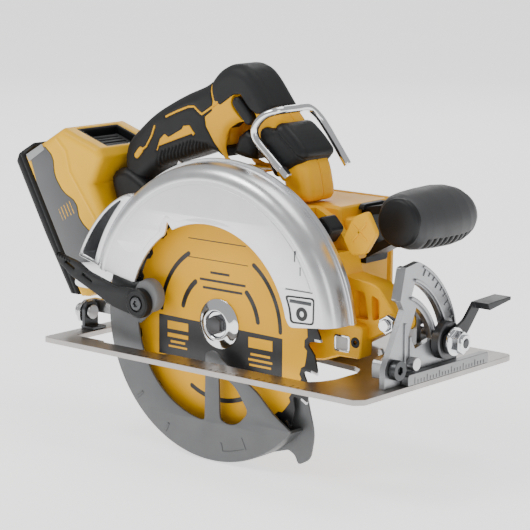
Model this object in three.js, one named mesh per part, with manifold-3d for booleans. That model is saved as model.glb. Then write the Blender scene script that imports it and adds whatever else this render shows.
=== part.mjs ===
// Cordless circular saw, 184 mm blade, with a tilting and depth-adjustable shoe.
// Millimetres, +Z up, X forward, Y from the blade towards the motor.
// Everything is drawn about the blade arbor; the last lines move the origin to the middle of the sole.

import * as THREE from "three";
import { mergeVertices } from "three/addons/utils/BufferGeometryUtils.js";
import Module from "manifold-3d";

const wasm = await Module();
wasm.setup();

// ---------------------------------------------------------------- driving dimensions

const GAP = 0.3;                                   // between touching parts
const ARBOR = { x: -11, y: -48.5, z: 26.5 };       // blade arbor, seen from the middle of the sole
const BLADE = { radius: 92, root: 84, half: 0.9, teeth: 24 };
const SHOE = { x0: -136, x1: 158, y0: -43.5, y1: 140.5, z0: -26.5, z1: -22.5 };
const SLOT_RELIEF = -27;                           // clears the guard lever's hub at full bevel
const BEVEL = { y: 2.5, z: -10.2, radius: 75, slot: 56, slotHalf: 4.4 };   // axis along X
const BOLT_ANGLE = 12.5;                           // where the bevel bolt sits in its slot at rest
const DEPTH = { x: 136, z: 16.2, end: 7.2, slot: 201.2, slotHalf: 4.4 };   // axis along Y
const DEPTH_BOLT = { x: -65, z: 8 };
const QUADRANT = { x0: 147.5, x1: 152 };
const TRUNNION = { x0: 139, x1: 147.2 };
const GUARD = {
  window: 73.7, shoulder: 107, wall: 116.2, flange: 118.5,
  near: -15.5, back: 9.2, sheet: 2.4, seam: 3.5,
};
const LOWER = { near: -11.2, far: 6, inner: 70, outer: 99, hub: 20.4, sheet: 2 };
const LOWER_BOSS = { x: -57.3, z: 14.6, radius: 12.5, face: -17.4 };
const LEVER_SCREW = { x: -60.5, z: 9.6 };
const LEVER = { rim: -24, face: -22.4, seat: -22.6, back: -17.9 };
const TEETH = { output: 27, pinion: 7 };
const MOTOR = { x: 17, z: 16.2, bore: 31 };
const CASE = { y0: 12, y1: 39.6, arm: 20 };
const HOUSING = { y0: 40, y1: 98, x0: -22, x1: 76, z0: -19.5, z1: 88, wall: 3 };
const LED = { x0: 95, x1: 106, z0: -6, z1: 3.5 };
const HANDLE = { mid: 46, half: 18 };
const BATTERY = { tilt: 30, y0: 10, y1: 82 };      // the pack leans forward by this many degrees
const FENCE = { x: 129, y: 25 };                    // clamp screw for a rip fence
const KNOB = { x: 125, z: 82, y0: 42, y1: 126, tilt: 42 };

// ---------------------------------------------------------------- solids and how they are cut

const DEG = Math.PI / 180;

function solid(geometry) {
  const bare = geometry.clone();
  bare.deleteAttribute("normal");
  bare.deleteAttribute("uv");
  const merged = mergeVertices(bare, 1e-4);
  const position = merged.attributes.position.array;
  const corners = [];
  let volume = 0;
  for (let i = 0; i < merged.index.count; i += 3) {
    const [a, b, c] = [0, 1, 2].map((k) => merged.index.getX(i + k));
    if (a === b || b === c || a === c) continue;
    corners.push(a, b, c);
    const [p, q, r] = [a, b, c].map((k) => new THREE.Vector3().fromArray(position, 3 * k));
    volume += p.dot(q.cross(r));
  }
  if (volume < 0) corners.reverse();
  const mesh = new wasm.Mesh({ numProp: 3, vertProperties: position, triVerts: new Uint32Array(corners) });
  return new wasm.Manifold(mesh);
}

function geometryOf(manifold) {
  const mesh = manifold.getMesh();
  const geometry = new THREE.BufferGeometry();
  geometry.setAttribute("position", new THREE.BufferAttribute(new Float32Array(mesh.vertProperties), 3));
  geometry.setIndex(new THREE.BufferAttribute(new Uint32Array(mesh.triVerts), 1));
  geometry.computeVertexNormals();
  return geometry;
}

function join(...pieces) {
  return pieces.reduce((whole, piece) => whole.add(piece));
}

function cut(body, ...tools) {
  return tools.reduce((whole, tool) => whole.subtract(tool), body);
}

// A closed outline; each point is [a, b] or [a, b, corner radius].
function outline(points, radius = 0) {
  const corner = points.map(([a, b]) => new THREE.Vector2(a, b));
  const shape = new THREE.Shape();
  points.forEach((point, i) => {
    const here = corner[i];
    const size = point[2] ?? radius;
    const before = corner[(i + corner.length - 1) % corner.length].clone().sub(here);
    const after = corner[(i + 1) % corner.length].clone().sub(here);
    const reach = Math.min(size, before.length() * 0.45, after.length() * 0.45);
    const start = here.clone().addScaledVector(before.normalize(), reach);
    const end = here.clone().addScaledVector(after.normalize(), reach);
    if (i === 0) shape.moveTo(start.x, start.y);
    else shape.lineTo(start.x, start.y);
    if (reach > 0) shape.quadraticCurveTo(here.x, here.y, end.x, end.y);
  });
  shape.closePath();
  return shape;
}

function arc(centreA, centreB, radius, from, to, steps = 12) {
  return Array.from({ length: steps + 1 }, (_, i) => {
    const angle = (from + ((to - from) * i) / steps) * DEG;
    return [centreA + radius * Math.cos(angle), centreB + radius * Math.sin(angle)];
  });
}

// Stands an extrusion up: its two drawing axes and its depth axis become the given directions.
const PLANES = {
  y: new THREE.Matrix4().makeBasis(axis(1, 0, 0), axis(0, 0, 1), axis(0, -1, 0)),
  x: new THREE.Matrix4().makeBasis(axis(0, 1, 0), axis(0, 0, 1), axis(1, 0, 0)),
  z: new THREE.Matrix4(),
};

function axis(x, y, z) {
  return new THREE.Vector3(x, y, z);
}

function extrude(shape, low, high, plane, round) {
  const geometry = new THREE.ExtrudeGeometry(shape, {
    depth: high - low - 2 * round,
    bevelEnabled: round > 0,
    bevelThickness: round,
    bevelSize: round,
    bevelOffset: -round,
    bevelSegments: round > 3 ? 3 : 1,
    curveSegments: 3,
  });
  geometry.translate(0, 0, plane === "y" ? -high + round : low + round);
  return solid(geometry.applyMatrix4(PLANES[plane]));
}

// Slabs with their outline in (x, z), (y, z) or (x, y) and their thickness along the named axis.
const slabY = (points, y0, y1, corner = 0, round = 0) => extrude(outline(points, corner), y0, y1, "y", round);
const slabX = (points, x0, x1, corner = 0, round = 0) => extrude(outline(points, corner), x0, x1, "x", round);
const slabZ = (points, z0, z1, corner = 0, round = 0) => extrude(outline(points, corner), z0, z1, "z", round);

function box(x0, x1, y0, y1, z0, z1) {
  const geometry = new THREE.BoxGeometry(x1 - x0, y1 - y0, z1 - z0);
  return solid(geometry.translate((x0 + x1) / 2, (y0 + y1) / 2, (z0 + z1) / 2));
}

// A turned piece about the Y direction through (x, z); its profile is a list of [radius, y].
function turnedY(x, z, profile, sides = 32) {
  const geometry = new THREE.LatheGeometry(profile.map(([r, y]) => new THREE.Vector2(r, y)), sides);
  return solid(geometry.translate(x, 0, z));
}

function rodY(x, z, radius, y0, y1, sides = 24) {
  return turnedY(x, z, [[0, y0], [radius, y0], [radius, y1], [0, y1]], sides);
}

function rodX(y, z, radius, x0, x1, sides = 24) {
  const geometry = new THREE.CylinderGeometry(radius, radius, x1 - x0, sides);
  return solid(geometry.rotateZ(Math.PI / 2).translate((x0 + x1) / 2, y, z));
}

function rodZ(x, y, radius, z0, z1, sides = 24) {
  const geometry = new THREE.CylinderGeometry(radius, radius, z1 - z0, sides);
  return solid(geometry.rotateX(Math.PI / 2).translate(x, y, (z0 + z1) / 2));
}

function ringY(x, z, inner, outer, y0, y1, sides = 32) {
  return turnedY(x, z, [[inner, y0], [outer, y0], [outer, y1], [inner, y1], [inner, y0]], sides);
}

// A bar of round section swept along a smooth line through the given points.
function wire(points, radius, steps, sides = 8) {
  const path = new THREE.CatmullRomCurve3(points.map((p) => axis(...p)), false, "centripetal");
  const section = new THREE.Shape(
    arc(0, 0, radius, 0, 360 - 360 / sides, sides - 1).map((p) => new THREE.Vector2(...p)),
  );
  return solid(new THREE.ExtrudeGeometry(section, { steps, extrudePath: path, bevelEnabled: false }));
}

// Moves or turns a solid by a matrix.
function moved(manifold, matrix) {
  return solid(geometryOf(manifold).applyMatrix4(matrix));
}

// ---------------------------------------------------------------- the assembly and its colours

const FINISH = {
  steel: { color: 0xb9bcbf, roughness: 0.38, metalness: 1 },
  chrome: { color: 0xe3e6e8, roughness: 0.14, metalness: 1 },
  darkSteel: { color: 0x3f4347, roughness: 0.45, metalness: 0.8 },
  cast: { color: 0xb3b6ba, roughness: 0.34, metalness: 0.9 },
  guardGrey: { color: 0x83878b, roughness: 0.4, metalness: 0.7 },
  yellow: { color: 0xf3b41b, roughness: 0.42, metalness: 0 },
  bladeYellow: { color: 0xf0b010, roughness: 0.36, metalness: 0.2 },
  black: { color: 0x2a2b2d, roughness: 0.6, metalness: 0 },
  rubber: { color: 0x37393b, roughness: 0.8, metalness: 0 },
  lens: { color: 0xe8eef2, roughness: 0.1, metalness: 0 },
  copper: { color: 0xb87333, roughness: 0.4, metalness: 1 },
};

const saw = new THREE.Group();
const arborFrame = new THREE.Group();
arborFrame.position.set(ARBOR.x, ARBOR.y, ARBOR.z);
saw.add(arborFrame);

function add(name, manifold, finish) {
  const mesh = new THREE.Mesh(geometryOf(manifold), new THREE.MeshStandardMaterial(FINISH[finish]));
  mesh.name = name;
  arborFrame.add(mesh);
}

// ---------------------------------------------------------------- shoe and what is fixed to it

function shoePlate() {
  const rim = [
    [SHOE.x0, SHOE.y0, 4], [152, SHOE.y0, 2], [SHOE.x1, SHOE.y0 + 6, 2],
    [SHOE.x1, SHOE.y1, 8], [SHOE.x0, SHOE.y1, 8],
  ];
  const opening = [
    [-121, -24], [-92, -24], [-90, SLOT_RELIEF], [-30, SLOT_RELIEF], [-28, -24], [98, -24],
    [104, -17], [108, -5], [108, 20], [103, 30], [95, 35], [58, 40], [-121, 39],
  ];
  return cut(slabZ(rim, SHOE.z0, SHOE.z1), slabZ(opening, SHOE.z0 - 1, SHOE.z1 + 1, 2));
}

function frontRail() {
  const profile = [[10.5, SHOE.z1 + GAP], [107, SHOE.z1 + GAP], [107, -14.5, 2], [10.5, -14.5, 2]];
  return slabX(profile, 152.6, 158.4);
}

function bevelPoint(radius, degrees) {
  return [BEVEL.y + radius * Math.cos(degrees * DEG), BEVEL.z + radius * Math.sin(degrees * DEG)];
}

function arcSlot(centre, middle, half, from, to, steps) {
  const outer = arc(centre[0], centre[1], middle + half, from, to, steps);
  const inner = arc(centre[0], centre[1], middle - half, to, from, steps);
  return [...outer, ...inner];
}

function bevelQuadrant() {
  const floor = SHOE.z1 + GAP;
  const edge = arc(BEVEL.y, BEVEL.z, BEVEL.radius, 69.6, 6, 16);
  const plate = slabX(
    [[76, floor], [-8, floor], [-8, -9], [-3.4, 0], [12.5, 28.9], [8.3, 35.6], [13.6, 57.9], ...edge],
    QUADRANT.x0, QUADRANT.x1,
  );
  const post = slabX([[8.6, 35.6], [16.5, 31], [18.6, 58], [14, 57.4]], 144, QUADRANT.x1, 1);
  const foot = slabX([[20, floor], [76, floor], [76, -17.5], [20, -17.5]], QUADRANT.x0, 152.3);
  const slot = slabX(arcSlot([BEVEL.y, BEVEL.z], BEVEL.slot, BEVEL.slotHalf, 6.5, 68.5, 16), 140, 160);
  const window = slabX(
    [...arc(BEVEL.y, BEVEL.z, 46, 18, 58, 6), ...arc(BEVEL.y, BEVEL.z, 26, 52, 24, 4)],
    140, 160,
  );
  const hole = rodX(BEVEL.y, BEVEL.z, 4.3, 140, 160, 16);
  const pinHole = rodX(20.8, -8.7, 3.3, 140, 160, 12);
  return cut(join(plate, post, foot), slot, window, hole, pinHole);
}

function bevelStopPin() {
  return join(rodX(20.8, -8.7, 3, 147.7, 152.6, 16), rodX(20.8, -8.7, 4.6, 152.3, 158, 16));
}

function bevelPivotPin() {
  const head = rodX(BEVEL.y, BEVEL.z, 7, 152.3, 157.5, 20);
  const socket = rodX(BEVEL.y, BEVEL.z, 3, 154.5, 160, 6);
  return cut(join(rodX(BEVEL.y, BEVEL.z, 4, 137.5, 153, 16), head), socket);
}

function rearPivotBracket() {
  const ear = [[-4.5, -22.2], [10, -22.2], [10, -6, 5], [6, -2, 3], [-1, -2, 3], [-4.5, -6, 5]];
  const foot = slabZ([[-135.5, -4.5], [-122.5, -4.5], [-122.5, 10], [-135.5, 10]], SHOE.z1 + GAP, -20.2, 1);
  return cut(join(slabX(ear, -134, -131), foot), rodX(BEVEL.y, BEVEL.z, 3.8, -140, -120, 16));
}

function rearPivotPin() {
  return join(
    rodX(BEVEL.y, BEVEL.z, 3.5, -141, -129.5, 16),
    rodX(BEVEL.y, BEVEL.z, 5.5, -143, -140.6, 16),
    rodX(BEVEL.y, BEVEL.z, 5.5, -130.7, -128.5, 16),
  );
}

function fenceClampScrew() {
  const { x, y } = FENCE;
  const base = SHOE.z1 + GAP;
  const stem = rodZ(x, y, 3, base, base + 9, 16);
  const collar = rodZ(x, y, 5, base + 6, base + 10, 20);
  const ear = [[1, 10], [5.6, 12, 2], [7, 18, 2], [4, 19, 2], [1.5, 14, 1]];
  const wing = [...ear, ...ear.map(([a, b, r]) => [-a, b, r]).reverse(), [-4, 8], [4, 8]];
  return join(stem, collar, slabY(wing.map(([a, b, r]) => [x + a, base + b, r ?? 0]), y - 1.6, y + 1.6));
}

// ---------------------------------------------------------------- frame that tilts on the shoe

function frontTrunnion() {
  const bolt = bevelPoint(BEVEL.slot, BOLT_ANGLE);
  const bar = slabX(
    [[-5, -17, 3], [60, -17, 4], [60, -6, 5], [36, -4], [6, -2, 4], [-5, -4, 4]],
    TRUNNION.x0, TRUNNION.x1,
  );
  const boss = rodX(...bolt, 8, TRUNNION.x0, TRUNNION.x1);
  const top = arc(DEPTH.x, DEPTH.z, DEPTH.end, 0, 180, 8);
  const ear = slabY([[DEPTH.x - DEPTH.end, -14], [DEPTH.x + DEPTH.end, -14], ...top], 40, 45);
  const web = box(131, 140, 40, 58, -15, -8);
  return cut(
    join(bar, boss, ear, web),
    rodX(...bolt, 4.3, 130, 150, 16),
    rodX(BEVEL.y, BEVEL.z, 4.3, 130, 150, 16),
    rodY(DEPTH.x, DEPTH.z, 4.3, 30, 50, 16),
  );
}

function depthBracket() {
  const centre = [DEPTH.x, DEPTH.z];
  const sector = slabY(arcSlot(centre, DEPTH.slot, 8.5, 153, 186, 12), 11.2, 15);
  const slot = slabY(arcSlot(centre, DEPTH.slot, DEPTH.slotHalf, 153.8, 183.7, 12), 5, 20);
  const foot = slabY([[-62, -12], [-57, 0], [-70, 10], [-84, -2, 6], [-139, -2], [-139, -12]], 11.2, 15);
  const ear = slabX([[-4.5, -18, 4], [15, -18, 3], [15, -2], [3, -2], [-4.5, -6, 4]], -139, -136.2);
  return cut(join(sector, foot, ear), slot, rodX(BEVEL.y, BEVEL.z, 3.8, -145, -130, 16));
}

function hexRodX([y, z], radius, x0, x1) {
  return rodX(y, z, radius, x0, x1, 6);
}

function bevelBolt() {
  const centre = bevelPoint(BEVEL.slot, BOLT_ANGLE);
  const head = hexRodX(centre, 7, 134, 138.7);
  return join(head, rodX(...centre, 4, 138, 172.5, 16));
}

function bevelNut() {
  const centre = bevelPoint(BEVEL.slot, BOLT_ANGLE);
  const flange = rodX(...centre, 10, 162.6, 164.4);
  return cut(join(flange, hexRodX(centre, 8.2, 164, 171)), rodX(...centre, 4.3, 160, 175, 16));
}

function depthPivotBolt() {
  const shank = rodY(DEPTH.x, DEPTH.z, 4, 10.8, 46, 16);
  return join(shank, rodY(DEPTH.x, DEPTH.z, 7, 45.3, 50, 6));
}

function depthPivotNut() {
  const nut = turnedY(DEPTH.x, DEPTH.z, [[0, 13.6], [6.2, 13.6], [7, 15], [7, 19.7], [0, 19.7]], 6);
  return cut(nut, rodY(DEPTH.x, DEPTH.z, 4.3, 10, 25, 16));
}

// ---------------------------------------------------------------- levers on the two clamps

function bevelLever() {
  const [y, z] = bevelPoint(BEVEL.slot, BOLT_ANGLE);
  const plate = slabX(
    [...arc(y, z, 9.5, 150, 330, 10), [y + 20, z + 6], [88, 19.5], [86, 25.5], [81, 26], [70, 15, 3]],
    160, 162.3,
  );
  const tab = slabX([[84, 21], [110, 24.6], [110, 27], [81, 26]], 160, 174);
  return cut(join(plate, tab), rodX(y, z, 4.3, 150, 170, 16));
}

function depthLever() {
  const { x, z } = DEPTH_BOLT;
  const hub = rodY(x, z, 9, 17.3, 24);
  const arm = slabY(
    [[x + 5, z + 5], [x - 6, z - 3], [x - 24, z + 26, 3], [x - 30, z + 42, 3], [x - 24, z + 43, 3]],
    18.5, 22.5,
  );
  return cut(join(hub, arm), rodY(x, z, 4.3, 10, 30, 16));
}

// ---------------------------------------------------------------- upper blade guard

const GUARD_FROM = 7.5;
const GUARD_TO = 165;
const WEDGE = [
  [0, 0], ...arc(0, 0, 260, GUARD_FROM, GUARD_FROM, 1).slice(0, 1),
  [240, 240], [-240, 240], ...arc(0, 0, 260, GUARD_TO, GUARD_TO, 1).slice(0, 1),
];



// The chip chute leaves the rim a little further out at every degree towards the back.
function chuteRim(inset, from, to, steps) {
  return Array.from({ length: steps + 1 }, (_, i) => {
    const angle = from + ((to - from) * i) / steps;
    const radius = GUARD.wall - 1.5 + 20 * Math.max(0, (angle - 131) / 34) ** 0.6 - inset;
    return [radius * Math.cos(angle * DEG), radius * Math.sin(angle * DEG)];
  });
}

// Two castings that meet at the flange: the open ring on the blade side, and the half that carries the arbor.
function upperGuardHalves() {
  const { window, shoulder, wall, flange, near, back, sheet, seam } = GUARD;
  const section = [
    [window, near], [shoulder, near], [112.5, -13], [115.5, -8],
    [wall, 2], [flange, 2], [flange, 5], [wall, 5],
    [wall, back], [20, back], [20, back - sheet], [wall - sheet, back - sheet], [wall - sheet, -7],
    [110.3, -11], [shoulder - 1, near + sheet], [window, near + sheet], [window, near],
  ];
  const shell = turnedY(0, 0, section, 52).intersect(slabY(WEDGE, -60, 60));
  const backPlate = slabY(
    [
      [-70, 0, 5], [-30, -4], [-20, -19, 5], [18, -19, 5], [60, 6], [96, 13.2],
      [90, 40], [-90, 40], [-95, 25.6], [-80, 16],
    ],
    back - sheet, back,
  );
  const rearTab = slabY(
    [[-153, 8, 5], [-148, 25, 4], [-108, 34], [-104, 24], [-124, 6, 3], [-149, 6, 4]],
    back - sheet, back,
  );
  const chuteOuter = slabY([...chuteRim(0, 131, 164.9, 7), ...arc(0, 0, 113.9, 164.9, 131, 5)], -12, back);
  const chuteHollow = slabY(
    [...chuteRim(sheet, 135, 170, 6), ...arc(0, 0, 117.2, 170, 135, 6)],
    -30, back - sheet,
  );
  const whole = cut(
    join(shell, backPlate, rearTab, chuteOuter),
    chuteHollow,
    rodY(0, 0, 20, -2, 20),
    rodY(-146, 14, 2.6, 0, 20, 12),
    rodY(DEPTH_BOLT.x, DEPTH_BOLT.z, 4.2, 0, 20, 12),
    slabY([[-57, 93], [-54, 107.5], [-48, 110.5], [-50, 96]], -20, -5),
    slabY([[-39.6, 58], [-39.6, 64.6], [-38, 71.5], [-30, 66]], -20, -12),
    slabY([[60, 6], [80.5, 9.8], [76.5, 11.2], [73.4, 15.2], [71, 22]], -20, -12),
  );
  const seat = ringY(0, 0, 17.5, 20.2, seam + GAP / 2, back, 40);
  return {
    near: whole.intersect(box(-200, 200, -40, seam - GAP / 2, -100, 200)),
    back: join(whole.intersect(box(-200, 200, seam + GAP / 2, 40, -100, 200)), seat),
  };
}

function depthBolt() {
  const shank = rodY(DEPTH_BOLT.x, DEPTH_BOLT.z, 4, 7.2, 28, 16);
  const head = rodY(DEPTH_BOLT.x, DEPTH_BOLT.z, 6.6, 24.3, 28.5, 6);
  return join(shank, head);
}

function guardSpring() {
  const turns = Array.from({ length: 21 }, (_, i) => {
    const angle = i * 30 * DEG;
    const radius = 21.6 + i * 0.22;
    return [radius * Math.cos(angle), 10.6, radius * Math.sin(angle)];
  });
  return wire(turns, 0.8, 30, 4);
}

// ---------------------------------------------------------------- blade, arbor and gears

function sawBlade() {
  const { radius, root, teeth, half } = BLADE;
  const pitch = 360 / teeth;
  const points = [];
  for (let i = 0; i < teeth; i += 1) {
    const at = (r, share) => {
      const angle = (i + share) * pitch * DEG;
      return [r * Math.cos(angle), r * Math.sin(angle)];
    };
    points.push(at(radius, 0), at(radius - 1.2, 0.16), at(radius - 3.5, 0.5), at(root, 0.82), at(root, 0.95));
  }
  return cut(slabY(points, -half, half), rodY(0, 0, 8.15, -5, 5));
}

function outerFlange() {
  const profile = [[4.3, -1.2], [18, -1.2], [18, -2.4], [12.2, -4.6], [11.2, -5.2], [4.3, -5.2], [4.3, -1.2]];
  return turnedY(0, 0, profile, 32);
}

function bladeBolt() {
  const head = turnedY(0, 0, [[0, -8.6], [5.8, -8.6], [7, -7.9], [7, -5.5], [0, -5.5]], 6);
  return join(head, rodY(0, 0, 4, -6, 20, 16));
}

function innerFlange() {
  const profile = [[4.3, -0.8], [7.9, -0.8], [7.9, 1.2], [16, 1.2], [16, 2.6], [4.3, 2.6], [4.3, -0.8]];
  return turnedY(0, 0, profile, 24);
}

function spindle() {
  const body = turnedY(0, 0, [[0, 2.9], [8, 2.9], [8, 31], [6, 31], [6, 37], [0, 37]], 28);
  return cut(body, rodY(0, 0, 4.3, 0, 22, 16));
}

function gear(x, z, teeth, tip, base, bore, y0, y1, turn) {
  const points = [];
  for (let i = 0; i < teeth; i += 1) {
    const at = (r, share) => {
      const angle = (i + share + turn) * (360 / teeth) * DEG;
      return [x + r * Math.cos(angle), z + r * Math.sin(angle)];
    };
    points.push(at(base, -0.3), at(tip, -0.12), at(tip, 0.12), at(base, 0.3));
  }
  return cut(slabY(points, y0, y1), rodY(x, z, bore, y0 - 5, y1 + 5, 20));
}

const outputGear = () => gear(0, 0, TEETH.output, 18.6, 16.8, 8.3, 20, 29, 0);

function bearing(x, z, inner, outer, y0, y1) {
  return ringY(x, z, inner, outer, y0, y1, 18);
}

// ---------------------------------------------------------------- lower blade guard

// The cover that is seen, with its rim, and the plate behind the blade that turns on the arbor.
function lowerGuard() {
  const { near, far, inner, outer, sheet } = LOWER;
  const face = slabY(
    [
      ...arc(0, 0, outer, 165, 319, 20),
      [58.3, -54.8], [42.8, -41, 4], [22.9, -30.1, 4], [11.5, -23.4, 3], [6, -18.8, 3], [1, -17.6, 2],
      [-4.6, -20, 3], [-5.2, -69.4, 7],
      ...arc(0, 0, inner, 263, 168, 12),
      [-72.5, 22],
    ],
    near, near + sheet,
  );
  const window = slabY(
    [[7.5, -33, 3], [23, -42.3, 3], [36, -52, 5], [35, -60, 5], [17, -69, 5], [8, -64, 4]],
    -30, -5,
  );
  const { x, z, radius, face: bossFace } = LOWER_BOSS;
  const boss = rodY(x, z, radius, bossFace, near + sheet, 28);
  const neck = slabY([[-84, 20], [-66, 24], [-54, 4], [-68, -8], [-80, -4]], near, near + sheet);
  const section = [
    [outer - 2.2, near], [outer, near], [outer, far - sheet - GAP], [outer - 2.2, far - sheet - GAP],
    [outer - 2.2, near],
  ];
  const sweep = slabY([[0, 0], [-150, 38], [-150, -150], [150, -150], [130, -113]], -40, 40);
  return cut(
    join(face, boss, neck, turnedY(0, 0, section, 48).intersect(sweep)),
    window,
    rodY(LEVER_SCREW.x, LEVER_SCREW.z, 2.2, -30, -12, 10),
  );
}

function lowerGuardBack() {
  const { far, outer, hub, sheet } = LOWER;
  const plate = slabY(
    [
      ...arc(0, 0, outer, 165, 300, 14), [60.4, -83.1], [66, -85.9], [69.3, -92.6, 3], [79.9, -86.9, 5],
      [83.4, -67.8, 6], [76.8, -43.9, 3], [60, -22],
      ...arc(0, 0, 27, 0, 165, 9),
    ],
    far - sheet, far,
  );
  return cut(plate, rodY(0, 0, hub, 0, 20, 28));
}

function guardLever() {
  const { x, z } = LEVER_SCREW;
  const arm = slabY(
    [
      [-144, 37, 3], [-121.8, 33], [-110.7, 27], [-82, 18, 3], [-64, 19, 4], [-58, 10], [-66, 0, 4],
      [-78, 2.4, 3], [-87.6, 3.6], [-103, 10.5], [-126.5, 20.4], [-143, 30.5, 3],
    ],
    LEVER.face, LEVER.back, 0, 0.8,
  );
  const hub = rodY(x, z, 11, LEVER.rim, LEVER.back, 24);
  const slots = [[-128, 27.6], [-110, 20.2]].map(([a, b]) => slabY(
    [[a - 6, b + 1], [a + 5, b - 3], [a + 6, b - 1], [a - 5, b + 3.4]],
    -30, -10,
  ));
  const recess = rodY(x, z, 5.4, -30, LEVER.seat);
  return cut(join(arm, hub), recess, rodY(x, z, 2.5, -30, -10, 16), ...slots);
}

function guardLeverScrew() {
  const { x, z } = LEVER_SCREW;
  const shank = rodY(x, z, 2, LEVER.seat - 0.5, -13, 12);
  const head = rodY(x, z, 5, LEVER.rim - 0.3, LEVER.seat - 0.2, 20);
  return cut(join(shank, head), rodY(x, z, 2.2, -31, LEVER.rim + 0.6, 6));
}

// ---------------------------------------------------------------- gear case

function gearCase() {
  const { y0, y1, arm: armFace } = CASE;
  const body = slabY(
    [
      [-21.7, -12, 6], [-12, -19, 6], [60, -19], [84, -16], [97, -11.5], [101, 24], [97, 50, 6],
      [88, 66, 6], [76, 80, 4], [60, 87.6, 4], [-21.7, 87.6, 4],
    ],
    y0, y1, 0, 1.5,
  );
  const arm = slabY(
    [
      [70, -15, 4], [93, -11.4], [129.5, 8.4], ...arc(DEPTH.x, DEPTH.z, DEPTH.end, -90, 60, 8),
      [124, 41, 6], [98, 45], [70, 50],
    ],
    armFace, y1, 0, 1,
  );
  const nose = slabY(
    [[80, -14], [95, -11], [116, -10.6, 3], [117.5, 12, 3], [100, 15], [80, 15]],
    y0, 26, 0, 1,
  );
  const pockets = [
    slabY([[104, 36, 2], [113, 35, 2], [117, 16, 2], [104, 16, 2]], 10, 27),
    slabY([[119, 34, 2], [126, 31, 2], [126, 18, 2], [120, 16, 2]], 10, 27),
  ];
  const gears = slabY(
    [...arc(0, 0, 23, 100, 260, 10), [MOTOR.x + 8, -15], [44, -8], [44, 40], [MOTOR.x, 42]],
    16.5, 60,
  );
  return cut(
    join(body, arm, nose),
    ...pockets,
    gears,
    rodY(0, 0, 8.6, 0, 60),
    rodY(0, 0, 14.3, 15.2, 60, 24),
    rodY(DEPTH.x, DEPTH.z, 4.3, 0, 60, 16),
    box(LED.x0 - 0.5, LED.x1 + 0.5, 0, 15, LED.z0 - 0.5, LED.z1 + 0.5),
    rodY(88, 22, 2.5, 0, 20, 10),
    rodY(111.8, 0.8, 2.6, 0, 20, 12),
    slabY([[60, 84], [66, 64], [74, 59], [92, 60], [104, 92], [62, 98]], 0, 31),
    box(-40, 105, 0, y0 + 0.05, -40, 100),
  );
}

// ---------------------------------------------------------------- motor

function housingOutline() {
  const { x0, x1, z0, z1 } = HOUSING;
  return [[x0, z0 + 10, 6], [x0 + 10, z0, 6], [x1 - 14, z0, 6], [x1, z0 + 14, 8], [x1, z1, 4], [x0, z1, 4]];
}

function motorHousing() {
  const { x0, x1, y0, y1, z1, wall } = HOUSING;
  const body = slabY(housingOutline(), y0, y1, 0, 2);
  const pad = slabX([[44, 50, 3], [62, 50, 3], [62, 80, 3], [44, 80, 3]], x1 - 2, x1 + 7);
  const bore = rodY(MOTOR.x, MOTOR.z, MOTOR.bore, y0 + 6, y1 + 5, 40);
  const shaftHole = rodY(MOTOR.x, MOTOR.z, 11.3, y0 - 5, y0 + 20, 24);
  const bay = slabY(
    [[x0 + wall, 50], [x1 - wall, 50], [x1 - wall, z1 - wall], [x0 + wall, z1 - wall]],
    y0 + 6, y1 + 5,
  );
  return cut(join(body, pad), bore, shaftHole, bay);
}

function motorEndCap() {
  const { y1 } = HOUSING;
  const plate = slabY(housingOutline(), y1 + GAP, y1 + 8, 0, 2.5);
  const vents = [-2, -1, 1, 2].map((row) => {
    const half = 24 - Math.abs(row) * 4;
    const z = MOTOR.z + row * 10;
    return box(MOTOR.x - half, MOTOR.x + half, y1 - 1, y1 + 12, z - 1.6, z + 1.6);
  });
  return cut(plate, ...vents, rodY(MOTOR.x, MOTOR.z, 8.3, y1 - 1, y1 + 4, 20));
}

const stator = () => ringY(MOTOR.x, MOTOR.z, 17, MOTOR.bore - 0.4, 52, 80, 28);
const rotor = () => ringY(MOTOR.x, MOTOR.z, 4.3, 16, 53, 79, 30);

function motorShaft() {
  const pinion = gear(MOTOR.x, MOTOR.z, TEETH.pinion, 4.6, 3.2, 1, 20, 30, 0);
  const { x, z } = MOTOR;
  return join(pinion, rodY(x, z, 3.4, 20, 44, 16), rodY(x, z, 4, 43, 98, 16));
}

function coolingFan() {
  const { x, z } = MOTOR;
  const disc = ringY(x, z, 4.3, 27, 83, 85, 24);
  const hub = ringY(x, z, 4.3, 9, 83, 92, 14);
  const blades = Array.from({ length: 7 }, (_, i) => {
    const turn = new THREE.Matrix4().makeTranslation(x, 0, z)
      .multiply(new THREE.Matrix4().makeRotationY((i * 360 * DEG) / 7));
    return moved(box(8, 26.5, 84, 92, -0.8, 0.8), turn);
  });
  return join(disc, hub, ...blades);
}

function controller() {
  const { x0, x1, z1 } = HOUSING;
  return box(x0 + 8, x1 - 8, 50, 92, 54, z1 - 8);
}

// ---------------------------------------------------------------- handle

const RING = [
  [-101, 34], [-108, 60], [-120, 85], [-124, 104], [-120, 118.5], [-101.5, 135], [-89.5, 143.5],
  [-64.5, 156.5], [-40, 166], [-30, 177], [-19.5, 182.3], [-10, 182.8], [-1, 179.5], [7, 172],
  [21, 154], [30.6, 143.8], [52.2, 119.7], [59, 88.3], [34, 88.3], [27, 108], [8.6, 125], [2, 137],
  [-8, 140], [-20, 133], [-21, 117], [-10, 111.8], [3, 111.8], [5.5, 103], [-19, 103], [-32.5, 120],
  [-62, 109.5], [-86, 102.5], [-105, 88], [-96, 67], [-89, 60], [-22.4, 62], [-22.4, 32], [-60, 31],
];
const GRIP_ZONE = [
  [-39.4, 178], [-31.4, 149], [-36.4, 142.5], [-21.5, 121], [-30, 95], [-92, 84], [-108, 76],
  [-150, 76], [-150, 150], [-80, 180],
];
const HUMP_ZONE = [
  [-38.8, 178], [-30.6, 149.4], [-2.4, 165.5], [13.6, 152.2], [23, 155.6], [50, 175], [20, 200], [-40, 200],
];

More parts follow.
